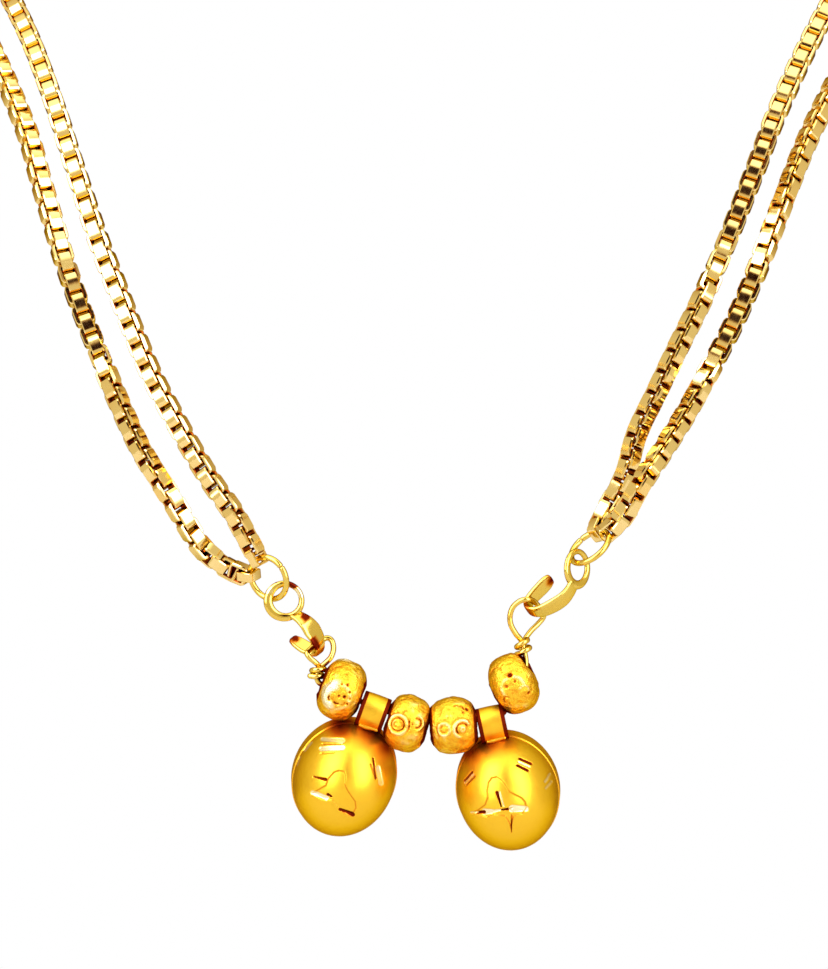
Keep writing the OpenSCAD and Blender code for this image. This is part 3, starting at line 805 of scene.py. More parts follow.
def ring_faces(rows, columns, closed_rows=False):
    """Quads between rings of points, the last ring joined to the first if the rows are closed."""
    faces = []
    for row in range(rows if closed_rows else rows - 1):
        here, there = row * columns, (row + 1) % rows * columns
        for column in range(columns):
            beside = (column + 1) % columns
            faces.append((here + column, here + beside, there + beside, there + column))
    return faces


def closed_ring(rows, cut=None):
    """A shell from rings of points, the last of which joins the first."""
    count, columns = rows.shape[:2]
    faces = ring_faces(count, columns, closed_rows=True)
    return outward(rows.reshape(-1, 3), faces, cut)


def capped(rows, cut=None):
    """A shell from rings of points, closed with a fan at both ends."""
    count, columns = rows.shape[:2]
    points = np.vstack([rows.reshape(-1, 3), rows[0].mean(0), rows[-1].mean(0)])
    faces = ring_faces(count, columns)
    last_ring = (count - 1) * columns
    first_tip, last_tip = count * columns, count * columns + 1
    for column in range(columns):
        beside = (column + 1) % columns
        faces.append((beside, column, first_tip))
        faces.append((last_ring + column, last_ring + beside, last_tip))
    if cut is not None:
        cut = np.concatenate([cut.reshape(-1), [cut[0].mean(), cut[-1].mean()]])
    return outward(points, faces, cut)


def outward(points, faces, cut=None):
    """A shell with its faces turned outwards."""
    volume = 0.0
    middle = points.mean(0)
    for size in (3, 4):
        some = np.array([f for f in faces if len(f) == size], int).reshape(-1, size)
        corners = points[some] - middle
        for k in range(1, size - 1):
            volume += np.sum(corners[:, 0] * np.cross(corners[:, k], corners[:, k + 1]))
    if volume < 0:
        faces = [tuple(reversed(f)) for f in faces]
    return Shell(points, faces, np.zeros(len(points)) if cut is None else np.asarray(cut).reshape(-1))


def tube(line, sides, half_wide, half_thick, around=16, square=2.0):
    """A closed tube along a line, with rounded ends. The half sizes are numbers or one for each
    point, and square makes the section boxier as it grows."""
    count = len(line)
    wide = np.broadcast_to(half_wide, count).astype(float)
    thick = np.broadcast_to(half_thick, count).astype(float)
    along = headings(line)
    over = np.cross(along, sides)
    angles = round_angles(around)
    c, s = np.cos(angles), np.sin(angles)
    section = np.stack([
        np.sign(c) * np.abs(c) ** (2 / square), np.sign(s) * np.abs(s) ** (2 / square)
    ], axis=1)

    def ring(i, scale, shift):
        middle = line[i] + shift * along[i]
        return (
            middle
            + scale * wide[i] * section[:, :1] * sides[i]
            + scale * thick[i] * section[:, 1:] * over[i]
        )

    rounding = [math.radians(a) for a in (78, 55, 28)]
    end_thick = min(thick[0], thick[-1])
    start = [ring(0, math.cos(a), -math.sin(a) * end_thick) for a in rounding]
    end = [ring(-1, math.cos(a), math.sin(a) * end_thick) for a in reversed(rounding)]
    rows = start + [ring(i, 1, 0) for i in range(count)] + end
    return capped(np.array(rows))


def place_points(matrix, points):
    """Points in mm moved by a matrix."""
    m = np.array(matrix)
    return points @ m[:3, :3].T + m[:3, 3]


def make_mesh(name, shells):
    """One mesh of all shells, in metres, smooth shaded, with the cut attribute."""
    points, faces, cuts = [], [], []
    start = 0
    for shell in shells:
        points.append(shell.points)
        cuts.append(shell.cut)
        faces.extend([tuple(start + i for i in face) for face in shell.faces])
        start += len(shell.points)
    mesh = bpy.data.meshes.new(name)
    mesh.from_pydata((np.vstack(points) * MM).tolist(), [], faces)
    mesh.attributes.new("cut", "FLOAT", "POINT").data.foreach_set("value", np.concatenate(cuts))
    mesh.shade_smooth()
    mesh.validate()
    return mesh


def make_piece(name, mesh, material, body, replaced):
    """A finished piece of the object in place of its node."""
    piece = bpy.data.objects.new(name, mesh)
    bpy.context.scene.collection.objects.link(piece)
    if not mesh.materials:
        mesh.materials.append(material)
    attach(piece, body)
    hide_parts(replaced)


# Jump rings and the links that hang on them

def ring_axes(ring):
    """The long way across a jump ring in the front view, and its short way."""
    lean, turn = math.radians(ring.lean), math.radians(ring.turn)
    up = 1 if ring.lean < 0 else -1
    long_way = np.array([math.cos(lean), 0, math.sin(lean)])
    short_way = np.array([
        -math.sin(lean) * math.cos(turn) * up, -math.sin(turn), math.cos(lean) * math.cos(turn) * up
    ])
    return long_way, short_way


def ring_directions(ring, at):
    """Outwards from a jump ring's centre at an angle round it, and along its wire there."""
    long_way, short_way = ring_axes(ring)
    at = math.radians(at)
    radial = math.cos(at) * long_way + math.sin(at) * short_way
    tangent = -math.sin(at) * long_way + math.cos(at) * short_way
    return radial, tangent


def link_reach():
    """From a jump ring's centre to the middle of an end link, in mm."""
    ring = bpy.context.scene.mangalsutra.ring
    middle = (ring.diameter - ring.wire) / 2 / MM
    return middle + END_LINK_SIZE / 2 - END_LINK_WALL - ring.wire / MM / 2 - LINK_PLAY


def jump_ring_shell(side):
    """A round wire bent into a ring whose two ends all but meet."""
    ring = bpy.context.scene.mangalsutra.ring
    place = RINGS[side]
    long_way, short_way = ring_axes(place)
    middle = (ring.diameter - ring.wire) / 2 / MM
    seam = math.radians(RING_SEAM[side])
    half_gap = ring.cut / MM / 2 / middle
    rounded_end = ring.wire / MM / 2 * RING_END
    angles = np.linspace(seam + half_gap, seam + 2 * math.pi - half_gap, RING_STEPS)
    line = np.array(place.at) + middle * (
        np.cos(angles)[:, None] * long_way + np.sin(angles)[:, None] * short_way
    )
    radius = np.full(len(line), ring.wire / MM / 2)
    radius[[0, -1]] = radius[0] - rounded_end / 2
    sides = np.broadcast_to(np.cross(long_way, short_way), line.shape)
    return capped(wire_rings(line, sides, radius, RING_AROUND))


def wire_rings(line, sides, radius, around):
    """Rings of points round a line, without caps."""
    over = np.cross(headings(line), sides)
    angles = round_angles(around)
    c, s = (values[None, :, None] for values in (np.cos(angles), np.sin(angles)))
    return line[:, None] + radius[:, None, None] * (c * sides[:, None] + s * over[:, None])


def link_shell(middle, along, width_way, sizes):
    """One link: a rounded square loop of flat strip. Sizes are across, along, corner, strip and
    thick, in mm."""
    wide, long, corner, strip, thick = sizes
    loop_way = np.cross(width_way, along)
    bends = []
    centre_x, centre_z = wide / 2 - corner, long / 2 - corner
    for sx, sz, start in ((1, 1, 0), (-1, 1, 90), (-1, -1, 180), (1, -1, 270)):
        for turned in np.linspace(0, 90, 5):
            a = math.radians(start + turned)
            bends.append((sx * centre_x, sz * centre_z, math.cos(a), math.sin(a)))
    bevel = thick * END_LINK_BEVEL
    profile = [
        (0, -strip / 2 + bevel), (-bevel, -strip / 2), (-thick + bevel, -strip / 2),
        (-thick, -strip / 2 + bevel), (-thick, strip / 2 - bevel), (-thick + bevel, strip / 2),
        (-bevel, strip / 2), (0, strip / 2 - bevel),
    ]
    rows = []
    for x, z, c, s in bends:
        rows.append([
            middle + (x + (corner + inset) * c) * loop_way + (z + (corner + inset) * s) * along
            + over * width_way
            for inset, over in profile
        ])
    return closed_ring(np.array(rows))


class MANGALSUTRA_OT_jump_rings(Operator):
    """Make the two jump rings that join the strands to the hooks"""
    bl_idname = "mangalsutra.jump_rings"
    bl_label = "Jump rings"

    def execute(self, context):
        gold = wire_gold()
        for side in RINGS:
            name = "jump_ring_" + side
            mesh = make_mesh(name, [jump_ring_shell(side)])
            make_piece(name + "_wire", mesh, gold, "root", name)
        return {"FINISHED"}


class MANGALSUTRA_OT_end_links(Operator):
    """Make the four end links that are threaded on the jump rings"""
    bl_idname = "mangalsutra.end_links"
    bl_label = "End links"

    def execute(self, context):
        chain = context.scene.mangalsutra.chain
        corner = chain.corner / MM * END_LINK_CORNER
        sizes = (END_LINK_SIZE, END_LINK_SIZE, corner, END_LINK_STRIP, END_LINK_WALL)
        gold = chain_gold()
        for side, place in RINGS.items():
            for strand in ("outer", "inner"):
                radial, tangent = ring_directions(place, getattr(place, strand))
                middle = np.array(place.at) + link_reach() * radial
                shell = link_shell(middle, radial, tangent, sizes)
                name = f"end_link_{strand}_{side}"
                mesh = make_mesh(name, [shell])
                mesh.set_sharp_from_angle(angle=math.radians(END_LINK_CREASE))
                make_piece(name + "_strip", mesh, gold, "root", name)
        return {"FINISHED"}


# Chains

def strand_line(strand, route):
    """The whole way of a strand's links, from the middle of its first link to that of its last."""
    pitch = bpy.context.scene.mangalsutra.chain.pitch / MM
    ends = []
    for side in ("left", "right"):
        place = RINGS[side]
        radial, _ = ring_directions(place, getattr(place, strand))
        first = np.array(place.at) + (link_reach() + pitch) * radial
        ends.append([first, first + STRAIGHT_START * radial])
    return smooth_line(ends[0] + route + ends[1][::-1], STRAND_GAP)


def turn_between(start, end, axis):
    """Angle in degrees from one direction to another about an axis."""
    return math.degrees(math.atan2(np.dot(np.cross(start, end), axis), np.dot(start, end)))


def nearest_turn(angle, target, step):
    """The angle, changed by whole steps, that is nearest to the target."""
    return angle + step * round((target - angle) / step)


def strand_twist(strand, line, links):
    """How far the first link and every other link are turned about the line at each point, in
    degrees from lying flat in the front view."""
    along = headings(line)
    reference = unit(across(np.array([0.0, 1.0, 0.0]), along))
    heights, sideways = line[:, 2], line[:, 0]
    left, right = (
        np.interp(heights, [row[0] for row in rows], [row[1] for row in rows])
        for rows in TWISTS[strand]
    )
    first, last = TWIST_SIDES
    mix = np.clip((sideways - first) / (last - first), 0, 1)
    twist = left * (1 - mix) - right * mix

    # In the front view a flat at no twist faces neither left nor right
    level = unit(np.cross(along, [1.0, 0.0, 0.0]) + 1e-9)
    level *= np.sign(level[:, 1:2])
    lean = np.array([turn_between(r, l, a) for r, l, a in zip(reference, level, along)])
    low, high = TWIST_FRONT
    twist += lean * np.clip((high - heights) / (high - low), 0, 1)

    run = run_length(line)
    for side, i, parity in (("left", 0, 0), ("right", -1, (links - 1) % 2)):
        place = RINGS[side]
        radial, tangent = ring_directions(place, getattr(place, strand))
        square = turn_between(reference[i], np.cross(tangent, radial), along[i]) - 90 * parity
        if side == "left" and abs(nearest_turn(square, twist[0], 180) - twist[0]) > 45:
            twist += nearest_turn(0, square - twist[0], 90)
        change = nearest_turn(square, twist[i], 180) - twist[i]
        from_end = run if side == "left" else run[-1] - run
        ease = np.clip(1 - from_end / TWIST_END, 0, 1)
        twist += change * ease * ease * (3 - 2 * ease)
    return twist, change


def strand_guide(strand, route):
    """The line that the links follow, as a mesh of edges with the twist on its points, and the
    number of links."""
    line = strand_line(strand, route)
    pitch = bpy.context.scene.mangalsutra.chain.pitch / MM
    links = round(run_length(line)[-1] / pitch) + 1
    twist, change = strand_twist(strand, line, links)
    if abs(change) > 45:
        links += 1
        twist, change = strand_twist(strand, line, links)
    mesh = bpy.data.meshes.new(strand + " strand line")
    edges = [(i, i + 1) for i in range(len(line) - 1)]
    mesh.from_pydata((line * MM).tolist(), edges, [])
    mesh.attributes.new("twist", "FLOAT", "POINT").data.foreach_set("value", np.radians(twist))
    return mesh, links


LINK_SIZES = ("Across", "Along", "Corner", "Strip", "Thick")


def chain_tree():
    """Geometry nodes that set a bent strip link at every pitch of a line, each turned a quarter
    from the last."""
    group = bpy.data.node_groups.new("box chain", "GeometryNodeTree")
    face = group.interface
    face.new_socket("Geometry", in_out="INPUT", socket_type="NodeSocketGeometry")
    for name in LINK_SIZES:
        face.new_socket(name, in_out="INPUT", socket_type="NodeSocketFloat")
    face.new_socket("Links", in_out="INPUT", socket_type="NodeSocketInt")
    face.new_socket("Gold", in_out="INPUT", socket_type="NodeSocketMaterial")
    face.new_socket("Geometry", in_out="OUTPUT", socket_type="NodeSocketGeometry")
    tree = Tree(group)
    given = tree.node("NodeGroupInput")

    def wanted(name):
        return Value(tree, given.outputs[name])

    # The link: the middle line of its strip is a rounded rectangle, swept by the strip's section
    loop = tree.value("GeometryNodeCurvePrimitiveQuadrilateral", sockets={
        "Width": wanted("Across") - wanted("Thick"), "Height": wanted("Along") - wanted("Thick"),
    })
    rounded = tree.value("GeometryNodeFilletCurve", {"mode": "POLY"}, {
        "Curve": loop, "Count": 2, "Radius": wanted("Corner") - wanted("Thick") / 2,
        "Limit Radius": True,
    })
    section = tree.value("GeometryNodeCurvePrimitiveQuadrilateral", sockets={
        "Width": wanted("Thick"), "Height": wanted("Strip"),
    })
    bevelled = tree.value("GeometryNodeFilletCurve", {"mode": "POLY"}, {
        "Curve": section, "Count": 1, "Radius": wanted("Thick") * LINK_BEVEL,
    })
    link = tree.value("GeometryNodeCurveToMesh", sockets={"Curve": rounded, "Profile Curve": bevelled})
    bend = tree.value("GeometryNodeInputMeshEdgeAngle")
    is_border = tree.value(
        "FunctionNodeCompare", {"operation": "GREATER_THAN"}, {0: bend, 1: math.radians(LINK_CREASE)}
    )
    link = tree.value("GeometryNodeSetShadeSmooth", {"domain": "EDGE"}, {
        "Geometry": link, "Selection": is_border, "Shade Smooth": False,
    })
    # The inside of the loop, which faces its middle, is dark with painted shade and some grime
    normal = tree.value("GeometryNodeInputNormal")
    middle = tree.value("GeometryNodeInputPosition")
    inwards = tree.dot(normal, middle)
    is_inside = tree.value("FunctionNodeCompare", {"operation": "LESS_THAN"}, {0: inwards, 1: 0.0})
    inside_shade = tree.value("ShaderNodeMath", {"operation": "MULTIPLY"}, {0: is_inside, 1: INSIDE_SHADE})
    link = tree.value("GeometryNodeStoreNamedAttribute", {"data_type": "FLOAT", "domain": "FACE"}, {
        "Geometry": link, "Name": "cut", "Value": inside_shade,
    })
    # The loop is drawn lying in the xy plane: stand it up so that its length follows the chain
    upright = tree.value("GeometryNodeTransform", sockets={
        "Geometry": link, "Rotation": (math.pi / 2, 0, 0),
    })

    line = tree.value("GeometryNodeMeshToCurve", sockets={"Mesh": wanted("Geometry")})
    points = tree.value("GeometryNodeResampleCurve", {"mode": "COUNT"}, {
        "Curve": line, "Count": wanted("Links"),
    })
    way = tree.value("GeometryNodeInputTangent")
    facing = tree.value(
        "FunctionNodeAxesToRotation", {"primary_axis": "Z", "secondary_axis": "Y"},
        {"Primary Axis": way, "Secondary Axis": (0, 1, 0)},
    )
    twist = tree.value(
        "GeometryNodeInputNamedAttribute", {"data_type": "FLOAT"}, {"Name": "twist"}, "Attribute"
    )
    index = tree.value("GeometryNodeInputIndex")
    quarter = index.maths("MODULO", index, 2.0) * (math.pi / 2)
    about = tree.value("ShaderNodeCombineXYZ", sockets={"Z": twist + quarter})
    turned = tree.value(
        "FunctionNodeRotateRotation", {"rotation_space": "LOCAL"},
        {"Rotation": facing, "Rotate By": about},
    )
    chain = tree.value("GeometryNodeInstanceOnPoints", sockets={
        "Points": points, "Instance": upright, "Rotation": turned,
    })
    real = tree.value("GeometryNodeRealizeInstances", sockets={"Geometry": chain})
    gilded = tree.value("GeometryNodeSetMaterial", sockets={
        "Geometry": real, "Material": wanted("Gold"),
    })
    tree.node("NodeGroupOutput", sockets={"Geometry": gilded})
    return group


def grow(mesh, group, inputs):
    """The plain mesh that a geometry node group makes of a mesh."""
    holder = bpy.data.objects.new(mesh.name, mesh)
    bpy.context.scene.collection.objects.link(holder)
    modifier = holder.modifiers.new(group.name, "NODES")
    modifier.node_group = group
    for item in group.interface.items_tree:
        if item.in_out == "INPUT" and item.name in inputs:
            modifier[item.identifier] = inputs[item.name]
    graph = bpy.context.evaluated_depsgraph_get()
    grown = bpy.data.meshes.new_from_object(
        holder.evaluated_get(graph), preserve_all_data_layers=True, depsgraph=graph
    )
    holder.modifiers.clear()
    bpy.data.objects.remove(holder)
    return grown


class MANGALSUTRA_OT_chains(Operator):
    """Make the links of the two box-chain strands"""
    bl_idname = "mangalsutra.chains"
    bl_label = "Box chains"

    def execute(self, context):
        chain = context.scene.mangalsutra.chain
        gold = chain_gold()
        group = chain_tree()
        for strand, route in (("outer", OUTER_ROUTE), ("inner", INNER_ROUTE)):
            guide, links = strand_guide(strand, route)
            sizes = {name: getattr(chain, name.lower()) for name in LINK_SIZES}
            mesh = grow(guide, group, {**sizes, "Links": links, "Gold": gold})
            mesh.name = f"chain_{strand}_links"
            make_piece(mesh.name, mesh, gold, "root", "chain_" + strand)
        return {"FINISHED"}


# Hooks

def eye_shell(side):
    """A flat ring whose wire is wider on one side than on the other."""
    hook = bpy.context.scene.mangalsutra.hook
    place = HOOKS[side]
    turn = math.radians(place.turn)
    right = np.array([math.cos(turn), math.sin(turn), 0])
    through = np.array([-math.sin(turn), math.cos(turn), 0])
    up = np.array([0, 0, 1])
    angles = round_angles(EYE_STEPS)
    outwards = np.cos(angles)[:, None] * right + np.sin(angles)[:, None] * up
    near_widest = (1 + np.cos(angles - math.radians(place.widest))) / 2
    band = (hook.band_narrow + (hook.band - hook.band_narrow) * near_widest) / MM
    line = np.array(place.at) + (hook.eye / MM / 2 - band / 2)[:, None] * outwards
    around = round_angles(EYE_AROUND)
    rows = (
        line[:, None]
        + (band / 2)[:, None, None] * np.cos(around)[None, :, None] * outwards[:, None]
        + hook.eye_thick / MM / 2 * np.sin(around)[None, :, None] * through
    )
    # The eye carries its spots of painted shade and painted highlight
    return closed_ring(rows, spotted(rows.reshape(-1, 3), EYE_SPOTS[side]))


def strip_shell(side):
    """The strip below the eye, bent back on itself."""
    hook = bpy.context.scene.mangalsutra.hook
    place = HOOKS[side]
    lean, roll = math.radians(place.lean), math.radians(place.roll)
    leave, turn = math.radians(place.leave), math.radians(place.turn)
    down = np.array([math.sin(lean), 0, -math.cos(lean)])
    beside = np.array([math.cos(lean), 0, math.sin(lean)])
    width = math.cos(roll) * beside + math.sin(roll) * np.array([0, 1, 0])
    back = np.cross(width, down)
    leaving = np.array([
        math.sin(leave) * math.cos(turn), math.sin(leave) * math.sin(turn), -math.cos(leave)
    ])
    start = np.array(place.at) + (hook.eye / MM / 2 - STRIP_INSET) * leaving
    bent = smooth_line([[row[0], row[1] * place.length] for row in STRIP_ROUTES[side]], STRIP_GAP)
    line = start + bent[:, :1] * back + bent[:, 1:] * down
    shares = bent[:, 1] / place.length
    half = hook.strip / MM * np.interp(shares, *zip(*STRIP_TAPER[side]))
    from_tip = run_length(line)[-1] - run_length(line)
    narrow, narrow_run = TIP_NARROW[side]
    half = half * (1 - narrow * np.clip(1 - from_tip / narrow_run, 0, 1) ** 1.5)
    sides = np.broadcast_to(width, line.shape)
    strip = tube(line, sides, half, hook.thick / MM / 2, around=32, square=5)
    # Darker at the strip's tip, with painted shade in its bend and in spots
    near_tip = np.clip(1.3 - np.linalg.norm(strip.points - line[-1], axis=1) / TIP_DARK, 0, 1)
    depth_down = (strip.points - start) @ down / place.length
    bend_shade = np.clip((depth_down - BEND_SHADE_FROM) / BEND_SHADE_RUN, 0, 1)
    dark = near_tip + BEND_SHADE * bend_shade
    return strip._replace(cut=np.clip(dark + spotted(strip.points, STRIP_SPOTS[side]), -1, 1))


def spotted(points, spots):
    """How dark the spots make points, seen from the front."""
    dark = np.zeros(len(points))
    for spot in spots:
        away = np.linalg.norm(points[:, [0, 2]] - px_to_mm(spot.at_px), axis=1)
        dark += spot.dark * np.clip((1.2 - away / spot.radius) * 3, 0, 1)
    return dark


class MANGALSUTRA_OT_hooks(Operator):
    """Make the two hooks, each a flat eye with a bent strip"""
    bl_idname = "mangalsutra.hooks"
    bl_label = "Hooks"

    def execute(self, context):
        gold = wire_gold()
        for side in HOOKS:
            name = "hook_" + side
            mesh = make_mesh(name, [eye_shell(side), strip_shell(side)])
            make_piece(name + "_metal", mesh, gold, "root", name)
        return {"FINISHED"}


# Bead wire

def wrap(stem, start_angle):
    """The wire's end round its own standing part in even turns, then sticking out a little."""
    wire = bpy.context.scene.mangalsutra.wire
    stem = np.array(stem)
    axis = unit(stem[1] - stem[0])
    u = unit(across(np.array([0.0, -1.0, 0.0]), axis))
    v = np.cross(axis, u)
    radius = wire.diameter / MM + WRAP_PLAY
    steps = math.ceil(wire.turns * 18)
    points = []
    for i in range(steps + 1):
        a = math.radians(start_angle + 360 * wire.turns * i / steps)
        on_stem = stem[0] + (stem[1] - stem[0]) * i / steps
        points.append(on_stem + radius * (math.cos(a) * u + math.sin(a) * v))
    last = math.radians(start_angle + 360 * wire.turns + STUB_TURN)
    points.append(stem[1] + (radius + STUB) * (math.cos(last) * u + math.sin(last) * v))
    return points


def bead_wire_shell():
    """One wire from the left wrap through all beads and bails to the right wrap."""
    wire = bpy.context.scene.mangalsutra.wire
    left = wrap(STEM_LEFT, WRAP_START["left"])[::-1] + LOOP_LEFT[::-1]
    right = LOOP_RIGHT + wrap(STEM_RIGHT, WRAP_START["right"])
    route = left + STEM_LEFT + WIRE_THROUGH + STEM_RIGHT[::-1] + right
    line = smooth_line(route, WIRE_GAP)
    radius = wire.diameter / MM / 2
    whole = tube(line, sides_from(line, [0, 1, 0]), radius, radius)
    # Painted shade on the wire where it runs inside beads and bails
    return whole._replace(cut=(whole.points[:, 2] < THREADED_BELOW) * 1.0)


class MANGALSUTRA_OT_bead_wire(Operator):
    """Make the wire that the beads and vatis hang on"""
    bl_idname = "mangalsutra.bead_wire"
    bl_label = "Bead wire"

    def execute(self, context):
        mesh = make_mesh("bead_wire", [bead_wire_shell()])
        make_piece("bead_wire_drawn", mesh, wire_gold(), "root", "bead_wire")
        return {"FINISHED"}


# Beads

# A struck arc fades at its ends over this many degrees
ARC_FADE = 30
# The dents of the hammered sheet: how many, widths in mm, depth as a share of the stamp's, darkness
DENTS = 150
DENT_SIZES = (0.35, 0.9)
DENT_DEPTH = 0.3
DENT_DARK = 0.2
# How far the sheet is turned in at the holes, in mm, and over how many rows
TURN_IN = 0.06
TURN_IN_ROWS = 5
# How dark the painted shade is at the holes, over what width in mm that fades, and how dark the painted
# shade inside is
HOLE_SHADE = 1.1
HOLE_FADE = 0.2
BEAD_INSIDE_SHADE = 0.8
BEAD_ROWS = 120
BEAD_INSIDE_ROWS = 24
BEAD_COLUMNS = 176


def bead_radius(directions, axis, size):
    """From a bead's middle to its surface in each direction. Size is its length and diameter."""
    length_mm, diameter_mm = size
    along = np.abs(directions @ axis)
    beside = np.sqrt(1 - np.minimum(along, 1) ** 2)
    filled = (along / (length_mm / 2)) ** BEAD_FULL + (beside / (diameter_mm / 2)) ** BEAD_FULL
    return filled ** (-1 / BEAD_FULL)


def stamped(points, axis, place, stamps, size):
    """Depth and darkness of the stamped marks at points given from the bead's middle."""
    length_mm, diameter_mm = size
    depth, dark, bright = (np.zeros(points.shape[:-1]) for _ in range(3))
    for stamp in stamps:
        offset = px_to_mm(stamp.at_px) - np.array([place.at[0], place.at[2]])
        flat = np.array([offset[0], 0, offset[1]])
        along = flat @ axis
        room = 1 - (along / (length_mm / 2)) ** 2 - (flat @ flat - along**2) / (diameter_mm / 2) ** 2
        aim = unit(np.array([offset[0], -math.sqrt(max(room, 0)) * diameter_mm / 2, offset[1]]))
        front = aim * bead_radius(aim, axis, size)
        for repeat in range(STAMP_REPEATS):
            turn = Matrix.Rotation(2 * math.pi * repeat / STAMP_REPEATS, 3, Vector(axis))
            middle = np.array(turn) @ front
            away = unit(middle)
            one = unit(across(np.array(turn) @ np.array([1.0, 0.0, 0.0]), away))
            two = np.cross(away, one)
            from_middle = points - middle
            right, up = from_middle @ one, from_middle @ two
            reach = np.abs(np.hypot(right, up) - stamp.radius) / (stamp.wide / 2)
            struck = (points @ away > 0) * 1.0
            if stamp.arc[1] < 180:
                off = np.degrees(np.arctan2(up, right)) - stamp.arc[0]
                off = np.abs((off + 180) % 360 - 180)
                struck *= np.clip((stamp.arc[1] - off) / ARC_FADE, 0, 1)
            depth += stamp.deep * np.exp(-(reach**2)) * struck
            mark = np.clip(1.9 - 1.3 * reach, 0, 1) * struck
            # Dark marks, and painted highlights where a stamp's dark is below 0
            dark = np.maximum(dark, stamp.dark * mark)
            bright = np.maximum(bright, -stamp.dark * mark)
    return depth, np.minimum(dark - bright * np.clip(1 - 2 * dark, 0, 1), 1)


def hammered(points, seed):
    """How deep points given from a bead's middle lie in small dents all over it."""
    dice = np.random.default_rng(seed)
    aims = unit(dice.normal(size=(DENTS, 3)))
    sizes = dice.uniform(*DENT_SIZES, DENTS)
    rises = dice.choice([1, 1, -1], DENTS)
    away = unit(points)
    reach = np.linalg.norm(points, axis=-1)
    dents = np.zeros(points.shape[:-1])
    for aim, size, rise in zip(aims, sizes, rises):
        distance = reach * np.sqrt(np.maximum(2 - 2 * away @ aim, 0))
        dents += rise * np.exp(-((distance / (size / 2)) ** 2))
    return dents


def bead_shell(name):
    """A hollow stamped ball with a hole right through it."""
    bead = bpy.context.scene.mangalsutra.bead
    place = BEADS[name]
    size = (getattr(bead, place.long) / MM, getattr(bead, place.wide) / MM)
    slope, hole_slope = math.radians(place.slope), math.radians(place.hole_slope)
    axis = np.array([math.cos(slope), 0, math.sin(slope)])
    tip = math.radians(place.hole_tip)
    bore = np.array([
        math.cos(hole_slope) * math.cos(tip), -math.sin(tip), math.sin(hole_slope) * math.cos(tip)
    ])
    front = unit(across(np.array([0, -1.0, 0]), bore))
    up = np.cross(front, bore)
    around = round_angles(BEAD_COLUMNS)
    outwards = np.cos(around)[:, None] * front + np.sin(around)[:, None] * up

    def directions(polar):
        polar = np.asarray(polar)[..., None]
        return np.cos(polar) * bore + np.sin(polar) * outwards

    # The angle from the bore at which each end's hole begins
    edges = []
    for sign in (1, -1):
        polar = np.full(BEAD_COLUMNS, 0.5)
        for _ in range(12):
            aim = directions(polar if sign > 0 else math.pi - polar)
            reach = bead_radius(aim, axis, size)
            polar = np.arcsin(np.clip(bead.hole / MM / 2 / reach, 0, 0.95))
        edges.append(polar if sign > 0 else math.pi - polar)
    shares = np.linspace(0, 1, BEAD_ROWS)[:, None]
    polar = edges[0] + (edges[1] - edges[0]) * shares
    aim = directions(polar)
    reach = bead_radius(aim, axis, size)
    points = aim * reach[..., None]
    depth, dark = stamped(points, axis, place, STAMPS[name], size)
    dents = hammered(points, list(BEADS).index(name))
    depth, dark = depth + DENT_DEPTH * dents, dark + DENT_DARK * dents
    # The sheet is turned in a little at the holes, where it carries painted shade
    run_in = np.minimum(shares, 1 - shares) * BEAD_ROWS
    turned_in = np.clip(1 - run_in / TURN_IN_ROWS, 0, 1) ** 2
    from_bore = np.linalg.norm(across(points, bore), axis=-1)
    end_dark = np.where(points @ bore > 0, *place.end_dark)
    dark = np.clip(dark + HOLE_SHADE * np.clip((end_dark - from_bore) / HOLE_FADE, 0, 1), -1, 1)
    outer = points - aim * (depth * bead.stamp / MM + turned_in * TURN_IN)[..., None]
    inner_shares = np.linspace(1, 0, BEAD_INSIDE_ROWS)[:, None]
    inner_aim = directions(edges[0] + (edges[1] - edges[0]) * inner_shares)
    inner_reach = bead_radius(inner_aim, axis, size) - bead.wall / MM
    inner = inner_aim * inner_reach[..., None]
    rows = np.concatenate([outer, inner]) + np.array(place.at)
    # Painted shade on the inside of the bead
    cut = np.concatenate([dark, np.full((BEAD_INSIDE_ROWS, BEAD_COLUMNS), BEAD_INSIDE_SHADE)])
    return closed_ring(rows, cut)


class MANGALSUTRA_OT_beads(Operator):
    """Make the four hollow stamped beads"""
    bl_idname = "mangalsutra.beads"
    bl_label = "Beads"

    def execute(self, context):
        gold = bead_gold()
        for name in BEADS:
            mesh = make_mesh(name, [bead_shell(name)])
            make_piece(name + "_stamped", mesh, gold, "root", name)
        return {"FINISHED"}


# Vatis

CUP_COLUMNS = 336
DOME_ROWS = 150
# Rows from the dome to the inside of the band
BAND_ROWS = 20
# How dark the painted shade in the step between dome and band and inside the cup is
STEP_SHADE = 0.25
CUP_INSIDE_SHADE = 0.35


def vati_places(side):
    """The bail's placing and the cup's, in mm."""
    vati = bpy.context.scene.mangalsutra.vati
    place = VATIS[side]
    bail = Matrix.Translation(place.at) @ Matrix.Rotation(math.radians(-place.slope), 4, "Y")
    hung = Vector(MOUTH_TOP) + Vector(place.shift)
    cup = (
        bail
        @ Matrix.Rotation(math.radians(-place.lean), 4, "Y")
        @ Matrix.Rotation(math.radians(place.turn), 4, "Z")
        @ Matrix.Translation(hung)
        @ Matrix.Rotation(math.radians(CUP_TILT), 4, "X")
        @ Matrix.Translation((0, 0, -vati.high / MM / 2))
    )
    return bail, cup


